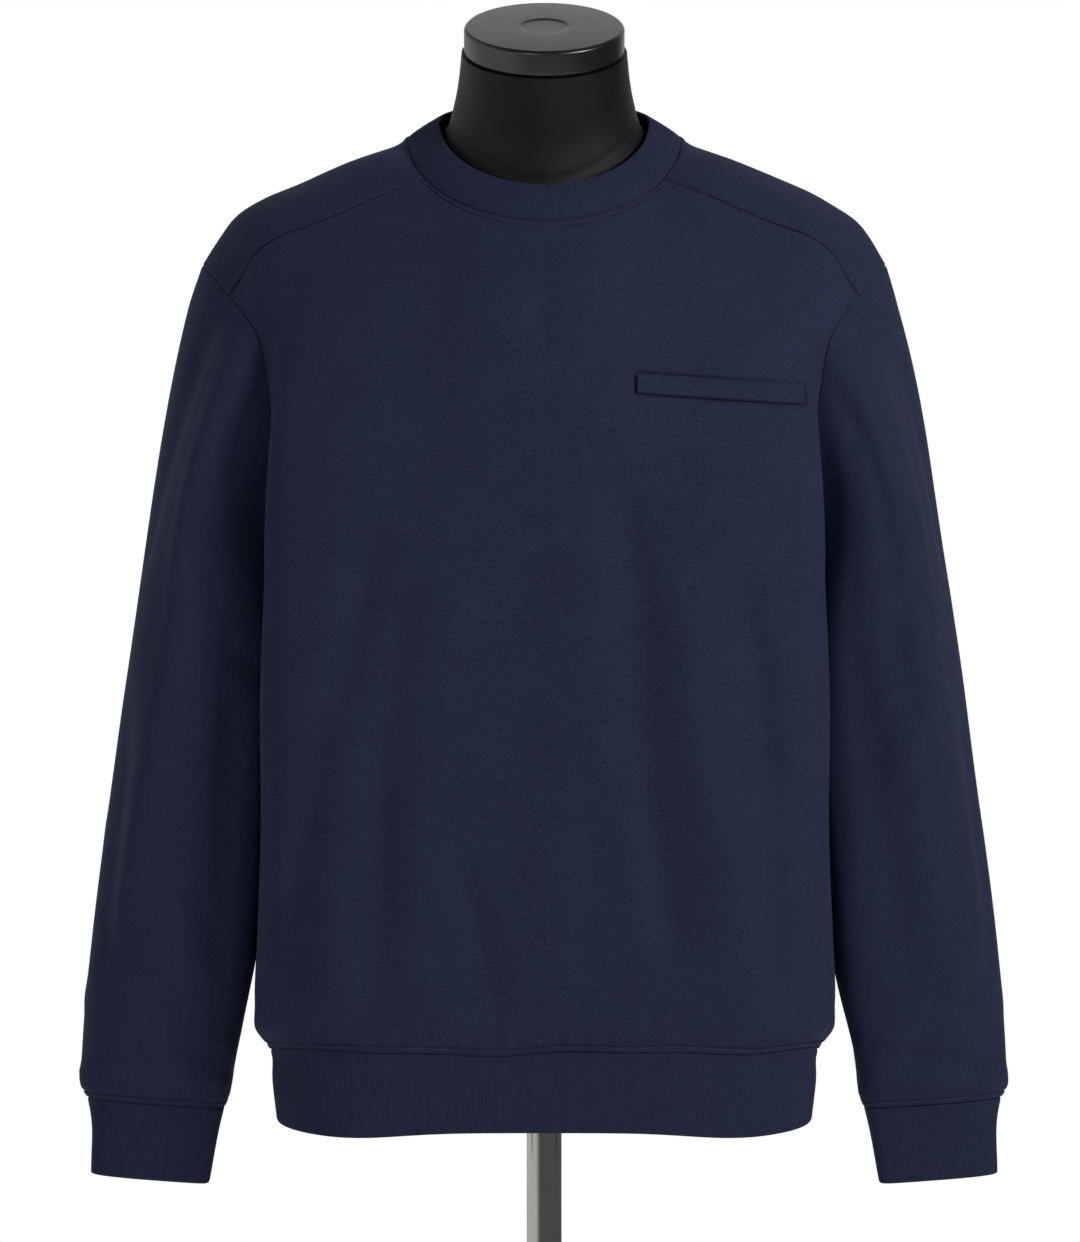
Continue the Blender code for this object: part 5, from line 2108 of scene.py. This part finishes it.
@dataclass
class HemBand(RibBand):
    """The rib band at the hem; its free edge droops on either side of the middle."""

    droop: float = 0.0046
    droop_at: float = 0.138
    droop_reach: float = 0.050
    droop_back: float = 0.3
    pinch: HemPinch = HemPinch()

    def build(self, wardrobe: Wardrobe) -> Piece:
        """Level sections of the body from the hem seam down to the hem.

        Args:
            wardrobe: the shape and finishes.

        Returns:
            The piece.
        """
        shape = wardrobe.shape
        heights = np.linspace(shape.hem_seam_z, shape.hem_z, self.rows + 1)
        shares = np.linspace(0, 1, SECTION_STEPS)
        rings = []
        for z in heights:
            front, back = (shape.quarter(z, shares, facing) for facing in (-1, 1))
            left = np.concatenate([front, back[-2::-1]])
            right = left[::-1] * OTHER_SIDE
            rings.append(np.concatenate([left, right[1:]])[::-1])
        rows = self.pinch.drawn(shape.sagged(np.stack(rings)), shape.hem_seam_z)
        down = np.linspace(0, 1, self.rows + 1)[:, None] ** 2
        droop = self.droop * bump(np.abs(rows[..., 0]), self.droop_at, self.droop_reach)
        rows[..., 2] -= (droop - self.droop_back * self.droop) * down
        return self.finish(wardrobe, self.face(rows))


@dataclass
class NeckBand(RibBand):
    """The rib collar, from the neck seam to its upper edge."""

    swell: float = 0.0012

    def build(self, wardrobe: Wardrobe) -> Piece:
        """Straight lines from the seam ring to the edge ring, swollen by a half sine.

        Args:
            wardrobe: the shape and finishes.

        Returns:
            The piece.
        """
        shape = wardrobe.shape
        turns = np.linspace(0, math.tau, 2 * SECTION_STEPS + 1)
        signs = np.where(turns <= math.pi, 1.0, -1.0)
        halves = np.where(turns <= math.pi, turns, math.tau - turns)
        low, high = (shape.neck_ring(ring, halves) for ring in (shape.neck_seam, shape.neck_edge))
        share = np.linspace(0, 1, self.rows + 1)[:, None, None]
        outward = np.stack([np.sin(halves), -np.cos(halves), 0 * halves], axis=1)
        rows = low + (high - low) * share + self.swell * np.sin(math.pi * share) * outward
        rows = rows * np.stack([signs, 0 * signs + 1, 0 * signs + 1], axis=1)
        return self.finish(wardrobe, self.face(rows))


# ---- the dress form and stand


@dataclass
class DressForm:
    """The hard form: hoops (half width, front, back, middle, squareness, side z, front z,
    back z) from its flat bottom over the shoulders to the tilted ring under the cap."""

    name: str = "form_cover"
    hoops: Table = (
        (0.120, 0.075, 0.078, 0.000, 2.3, 0.850, 0.850, 0.850),
        (0.146, 0.093, 0.097, 0.000, 2.3, 0.856, 0.856, 0.856),
        (0.158, 0.102, 0.106, 0.000, 2.3, 0.880, 0.880, 0.880),
        (0.160, 0.104, 0.107, 0.000, 2.3, 0.930, 0.930, 0.930),
        (0.148, 0.100, 0.098, 0.000, 2.3, 1.030, 1.030, 1.030),
        (0.154, 0.107, 0.103, 0.000, 2.4, 1.120, 1.120, 1.120),
        (0.163, 0.113, 0.112, 0.000, 2.4, 1.210, 1.200, 1.210),
        (0.172, 0.106, 0.112, 0.002, 2.5, 1.300, 1.260, 1.280),
        (0.180, 0.086, 0.090, 0.005, 2.5, 1.368, 1.310, 1.325),
        (0.178, 0.076, 0.078, 0.008, 2.4, 1.4000, 1.335, 1.352),
        (0.162, 0.067, 0.068, 0.009, 2.3, 1.4205, 1.354, 1.377),
        (0.128, 0.064, 0.060, 0.009, 2.2, 1.4353, 1.371, 1.402),
        (0.098, 0.063, 0.060, 0.010, 2.1, 1.4446, 1.386, 1.427),
        (0.078, 0.066, 0.058, 0.005, 2.0, 1.4520, 1.404, 1.444),
        (0.0680, 0.0655, 0.0570, 0.002, 2.0, 1.4630, 1.424, 1.462),
        (0.0630, 0.0625, 0.0560, -0.003, 2.0, 1.4790, 1.446, 1.482),
        (0.0600, 0.0600, 0.0560, -0.010, 2.0, 1.4950, 1.468, 1.504),
    )
    neck_seam_hoop: float = 14.0
    neck_seam_depth: float = 0.0005
    neck_seam_reach: float = 0.10
    end_share: float = 0.02
    top: Numbers = (0.0, -0.0200, 1.5130)
    top_radius: float = 0.0580
    tilt: float = math.radians(20)
    columns: int = 144
    rows_per_hoop: int = 7

    def tilted(self, points: Array) -> Array:
        """Points about the neck's top, turned by the tilt about X and moved there.

        Args:
            points: points about the neck's top.

        Returns:
            The moved points.
        """
        c, s = math.cos(self.tilt), math.sin(self.tilt)
        turn = np.array([[1.0, 0.0, 0.0], [0.0, c, -s], [0.0, s, c]])
        return points @ turn.T + np.array(self.top)

    def build(self, finish: Material) -> Piece:
        """Rings through smoothly blended hoops, with a sunk seam round the neck's base.

        Args:
            finish: the cover's material.

        Returns:
            The piece.
        """
        turns = np.arange(self.columns) * math.tau / self.columns
        c, s = np.cos(turns), np.sin(turns)
        rings = []
        for width, front, back, middle, square, side_z, front_z, back_z in self.hoops:
            x = np.sign(c) * np.abs(c) ** (2 / square) * width
            across = np.sign(s) * np.abs(s) ** (2 / square)
            z = side_z + (np.where(s < 0, front_z, back_z) - side_z) * across**2
            depth = np.where(s < 0, front, back)
            rings.append(np.stack([x, middle + across * depth, z], axis=1))
        flat = np.stack([c, s, 0 * turns], axis=1) * self.top_radius
        rings.append(self.tilted(flat))
        keys = np.arange(len(rings))
        count = (len(rings) - 1) * self.rows_per_hoop + 1
        at = np.linspace(0, len(rings) - 1, count)
        rows = smooth(keys, np.stack(rings).reshape(len(rings), -1), at).reshape(count, -1, 3)
        sunk = self.neck_seam_depth * bump(at, self.neck_seam_hoop, self.neck_seam_reach)
        rows = rows - grid_normals(rows, True) * sunk[:, None, None]
        floor = rows[:1] * np.array([self.end_share, self.end_share, 1.0])
        lid = self.tilted(flat * self.end_share)[None]
        return revolved(self.name, np.concatenate([floor, rows, lid]), finish)


def revolved(name: str, rings: Array, finish: Material) -> Piece:
    """A closed solid through rings (rows, columns, 3); its tiny end rings are capped.

    Args:
        name: the piece's name.
        rings: from the bottom up, each turning anticlockwise seen from above.
        finish: its material.

    Returns:
        The object, its flat place measured round and up.
    """
    rows, columns = rings.shape[:2]
    corner_rows, corner_columns = loop_faces(rows - 1, columns, True)
    faces = corner_rows * columns + corner_columns % columns
    around = np.arange(columns + 1) * np.linalg.norm(rings[:, 0] - rings[:, 1], axis=1).max()
    height = lengths(rings).mean(axis=1)
    flat = np.stack([around[corner_columns], height[corner_rows]], axis=-1)
    half = np.arange(columns // 2 - 1)
    fan = np.stack([half, half + 1, columns - 2 - half, columns - 1 - half], axis=1)
    caps = np.concatenate([fan[:, ::-1], fan + (rows - 1) * columns])
    places = np.stack([around[caps % columns], height[caps // columns]], axis=-1)
    piece = add_object(name, rings.reshape(-1, 3), np.concatenate([faces, caps]), finish)
    add_flat_places(piece, np.concatenate([flat, places]))
    return piece


@dataclass(frozen=True)
class Turned:
    """A turned part: a profile of (radius, height) points with rounded corners."""

    name: str
    node: str
    slot: str
    profile: Table
    columns: int = 96
    corner: float = 0.0006
    corner_rows: int = 4
    corner_share: float = 0.45

    def rounded(self) -> Array:
        """The profile with each inner corner cut back and rounded by a parabola.

        Returns:
            Rows of (radius, height).
        """
        points = np.array(self.profile)
        rows = [points[:1]]
        t = np.linspace(0, 1, self.corner_rows + 1)[:, None]
        for before, here, after in zip(points[:-2], points[1:-1], points[2:]):
            back, ahead = before - here, after - here
            shorter = min(np.linalg.norm(back), np.linalg.norm(ahead))
            reach = min(self.corner, self.corner_share * shorter)
            start, end = here + unit(back) * reach, here + unit(ahead) * reach
            rows.append((1 - t) ** 2 * start + 2 * t * (1 - t) * here + t**2 * end)
        rows.append(points[-1:])
        return np.concatenate(rows)

    def rings(self) -> Array:
        """The profile turned about Z.

        Returns:
            Points (rows, columns, 3).
        """
        profile = self.rounded()
        angle = np.arange(self.columns) * math.tau / self.columns
        circle = np.stack([np.cos(angle), np.sin(angle)], axis=1)
        flat = profile[:, :1, None] * circle[None]
        height = np.broadcast_to(profile[:, 1][:, None, None], flat.shape[:2] + (1,))
        return np.concatenate([flat, height], axis=2)

    def build(self, finish: Material, move: Callable[[Array], Array] | None = None) -> Piece:
        """The part, put in place by a move, standing for its solid.

        Args:
            finish: the part's material.
            move: puts its points in place.

        Returns:
            The piece.
        """
        rings = self.rings()
        piece = revolved(self.name, move(rings) if move else rings, finish)
        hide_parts(self.node)
        return piece


# Radius of the tiny ring at the middle of a turned end
CENTRE = 0.0004


@dataclass
class Stand:
    """The cap on the neck, the socket under the form, the pole and the round foot."""

    satin: MetalFinish = MetalFinish("cap_satin_metal", (0.088, 0.086, 0.084), 0.22, 0.36)
    chrome: MetalFinish = MetalFinish("pole_polished_metal", (0.58, 0.57, 0.54), 0.08, 0.16)
    foot: MetalFinish = MetalFinish("foot_brushed_metal", (0.34, 0.34, 0.33), 0.30, 0.42)
    cap: Turned = Turned("cap_disc", "neck_cap", "cap_satin", (
        (CENTRE, 0.0004), (0.0556, 0.0004), (0.0562, 0.0022), (0.0562, 0.0172),
        (0.0545, 0.0190), (0.0180, 0.0194), (0.0150, 0.0186), (CENTRE, 0.0186),
    ))
    socket: Turned = Turned("socket_collar", "pole_socket", "socket_chrome", (
        (CENTRE, 0.8046), (0.0205, 0.8046), (0.0240, 0.8075), (0.0240, 0.8200), (0.0228, 0.8215),
        (0.0228, 0.8245), (0.0240, 0.8260), (0.0240, 0.8480), (0.0225, 0.8496), (CENTRE, 0.8496),
    ))
    pole: Turned = Turned("pole_tube", "pole", "pole_chrome", (
        (CENTRE, 0.0124), (0.0125, 0.0124), (0.0125, 0.8042), (CENTRE, 0.8042),
    ))
    plate: Turned = Turned("foot_disc", "base_plate", "base_metal", (
        (CENTRE, 0.0), (0.1880, 0.0), (0.1900, 0.0015), (0.1900, 0.0085), (0.1872, 0.0120),
        (0.0330, 0.0120), (0.0300, 0.0112), (CENTRE, 0.0112),
    ), 160, 0.0012)

    def build(self, form: DressForm) -> None:
        """All four parts in their finishes.

        Args:
            form: on whose neck the cap lies.
        """
        satin, chrome, foot = (given.material() for given in (self.satin, self.chrome, self.foot))
        report(self.cap.build(satin, form.tilted))
        report(self.socket.build(chrome))
        report(self.pole.build(chrome))
        report(self.plate.build(foot))


# ---- studio


@dataclass
class AreaLight:
    """A soft box: where it stands, what it looks at, its size, power and colour."""

    name: str
    place: Numbers
    target: Numbers
    size: float
    power: float
    colour: Numbers = (1.0, 1.0, 1.0)

    def build(self) -> None:
        """A square area light turned towards its target."""
        light = bpy.data.lights.new(self.name, "AREA")
        light.size = self.size
        light.energy = self.power
        light.color = self.colour
        item = bpy.data.objects.new(self.name, light)
        bpy.context.scene.collection.objects.link(item)
        way = Vector(self.target) - Vector(self.place)
        item.location = self.place
        item.rotation_euler = way.to_track_quat("-Z", "Y").to_euler()


@dataclass(frozen=True)
class GlowingWall:
    """A bright side of the surround: the way to it and how directly one looks that way."""

    way: Numbers
    start: float
    full: float
    power: float

    def strength(self, made: Nodes, seen: Socket) -> Socket:
        """power * a smooth step of the way seen along the wall's way, from start to full.

        Args:
            made: the surround's nodes.
            seen: the way one looks.

        Returns:
            The strength.
        """
        facing = made.add("VectorMath", {0: seen, 1: self.way}, operation="DOT_PRODUCT")
        inputs = {"From Min": self.start, "From Max": self.full, "To Max": self.power}
        inputs["Value"] = facing.outputs["Value"]
        return made.add("MapRange", inputs, interpolation_type="SMOOTHSTEP").outputs[0]


@dataclass
class Studio:
    """A pale floor, a white surround, soft boxes and the camera."""

    target: Numbers = (-0.003, -0.05, 1.116)
    distance: float = 4.0
    elevation: float = math.radians(4)
    image_height: int = 1242
    metres_per_pixel: float = 0.0007
    sensor: float = 24.0
    ambient: float = 0.11
    walls: tuple[GlowingWall, ...] = (
        GlowingWall((-0.95, 0.15, -0.25), 0.30, 0.80, 0.56),
        GlowingWall((0.15, 0.90, 0.40), 0.72, 0.96, 0.60),
    )
    lights: tuple[AreaLight, ...] = (
        AreaLight("key_box", (1.70, -1.50, 2.05), (0.05, -0.1, 1.25), 0.7, 39.0),
        AreaLight("fill_box", (-1.0, -2.6, 1.9), (0.0, 0.0, 1.2), 1.0, 12.0),
    )
    floor_radius: float = 3.0
    floor_centre: float = 0.001
    floor_z: float = -0.0005
    floor_rings: int = 24
    floor_columns: int = 128
    floor_colour: Numbers = (0.90, 0.90, 0.90, 1.0)
    floor_glow: float = 0.16
    floor_roughness: float = 0.7
    floor_fade: Numbers = (0.9, 2.8)
    grain_scale: float = 40.0
    grain_depth: float = 0.0004
    grain_strength: float = 0.3

    def build_floor(self) -> None:
        """A disc that fades out towards its rim: alpha from the distance to its centre."""
        made = Surface("pale_floor")
        made.finish(
            Base_Color=self.floor_colour,
            Emission_Color=WHITE,
            Emission_Strength=self.floor_glow,
            Roughness=self.floor_roughness,
        )
        place = made.object_place()
        away = made.add("VectorMath", {0: place}, operation="LENGTH").outputs["Value"]
        near, far = self.floor_fade
        inputs = {"Value": away, "From Min": near, "From Max": far, "To Min": 1.0, "To Max": 0.0}
        made.set(made.shader.inputs["Alpha"], made.add("MapRange", inputs).outputs[0])
        grain = made.grain(place, self.grain_scale, 3.0)
        made.bumped(grain, self.grain_depth, self.grain_strength)
        radius = np.linspace(self.floor_centre, self.floor_radius, self.floor_rings)[:, None, None]
        angle = np.arange(self.floor_columns) * math.tau / self.floor_columns
        circle = np.stack([np.cos(angle), np.sin(angle), 0 * angle], axis=1)
        rings = (circle[::-1] * radius)[::-1] + np.array([0.0, 0.0, self.floor_z])
        rows, columns = rings.shape[:2]
        corner_rows, corner_columns = loop_faces(rows - 1, columns, True)
        faces = corner_rows * columns + corner_columns % columns
        floor = add_object("floor_disc", rings.reshape(-1, 3), faces[:, ::-1], made.material)

    def build_surround(self) -> None:
        """White where the camera looks past the object, softer as a light."""
        world = bpy.data.worlds.new("surround")
        bpy.context.scene.world = world
        world.use_nodes = True
        world.node_tree.nodes.clear()
        made = Nodes(world.node_tree)
        way = made.add("TexCoord").outputs["Generated"]
        strength = self.ambient
        for wall in self.walls:
            strength = made.math("ADD", wall.strength(made, way), strength)
        soft = made.add("Background", {"Color": WHITE, "Strength": strength}).outputs[0]
        white = made.add("Background", {"Color": WHITE}).outputs[0]
        seen = made.add("LightPath").outputs["Is Camera Ray"]
        mix = made.add("MixShader", {0: seen, 1: soft, 2: white}).outputs[0]
        made.add("OutputWorld", {"Surface": mix})

    def build_camera(self) -> None:
        """The camera looks at its target from the front, a little above it."""
        lens = bpy.data.cameras.new("camera")
        lens.sensor_width = self.sensor
        lens.lens = self.sensor * self.distance / (self.image_height * self.metres_per_pixel)
        camera = bpy.data.objects.new("camera", lens)
        bpy.context.scene.collection.objects.link(camera)
        way = Vector((0.0, math.cos(self.elevation), -math.sin(self.elevation)))
        camera.location = Vector(self.target) - way * self.distance
        camera.rotation_euler = way.to_track_quat("-Z", "Y").to_euler()
        bpy.context.scene.camera = camera

    def build(self) -> None:
        """Everything round the object, and plain tones for the picture."""
        bpy.context.scene.view_settings.view_transform = "Standard"
        self.build_camera()
        self.build_surround()
        for light in self.lights:
            light.build()
        self.build_floor()


# ---- building


def report(piece: Piece) -> Piece:
    """Logs a piece and its number of faces, and hands it back."""
    log.info("%s: %d faces", piece.name, len(piece.data.polygons))
    return piece


def main() -> None:
    """Builds every piece in order, then the studio."""
    shape = BodyShape()
    knit, rib, thread = (made.material() for made in (KnitFinish(), RibFinish(), ThreadFinish()))
    wardrobe = Wardrobe(shape, knit, rib, thread)
    form = DressForm()
    cover = report(form.build(CoverFinish().material()))
    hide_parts("form_torso")

    front = FrontPanel(
        name="front_knit",
        node="front_panel",
        facing=-1,
        neck_columns=36,
        yoke_columns=66,
        lower_rows=76,
        upper_rows=54,
        folds=FRONT_FOLDS,
        swell=Swell(0.0005, seed=3),
        cut=(0.620, 0.640),
        cut_area=0.330,
        origin=(0.0, 0.0),
    )
    back = Panel(
        name="back_knit",
        node="back_panel",
        facing=1,
        neck_columns=42,
        yoke_columns=64,
        lower_rows=70,
        upper_rows=76,
        folds=BACK_FOLDS,
        swell=Swell(0.0006, seed=5),
        cut=(0.730, 0.760),
        cut_area=0.385,
        origin=(3.0, 0.0),
        soft_passes=24,
    )
    report(front.build(wardrobe))
    report(back.build(wardrobe))
    report(front.welt.build(wardrobe, front.unsunk))
    arms = [
        Arm(Side.LEFT, Swell(0.0007, seed=12), fullness=0.0020, fold_shift=0.0),
        Arm(Side.RIGHT, Swell(0.0007, seed=10), fullness=0.0010, fold_shift=0.16),
    ]
    for arm in arms:
        for piece in arm.build(wardrobe):
            report(piece)
    panels = (front.name, back.name)
    hem = HemBand("hem_rib", "hem_band", 468, 8, (16.0, 0.0), cut=(1.12, 0.062), held_by=panels)
    neck = NeckBand("neck_rib", "neck_band", 236, 10, (18.0, 0.0), cut=(0.52, 0.030), held_by=panels)
    report(hem.build(wardrobe))
    report(neck.build(wardrobe))

    Stand().build(form)
    Studio().build()


if __name__ == "__main__":
    logging.basicConfig(level=logging.INFO)
    main()
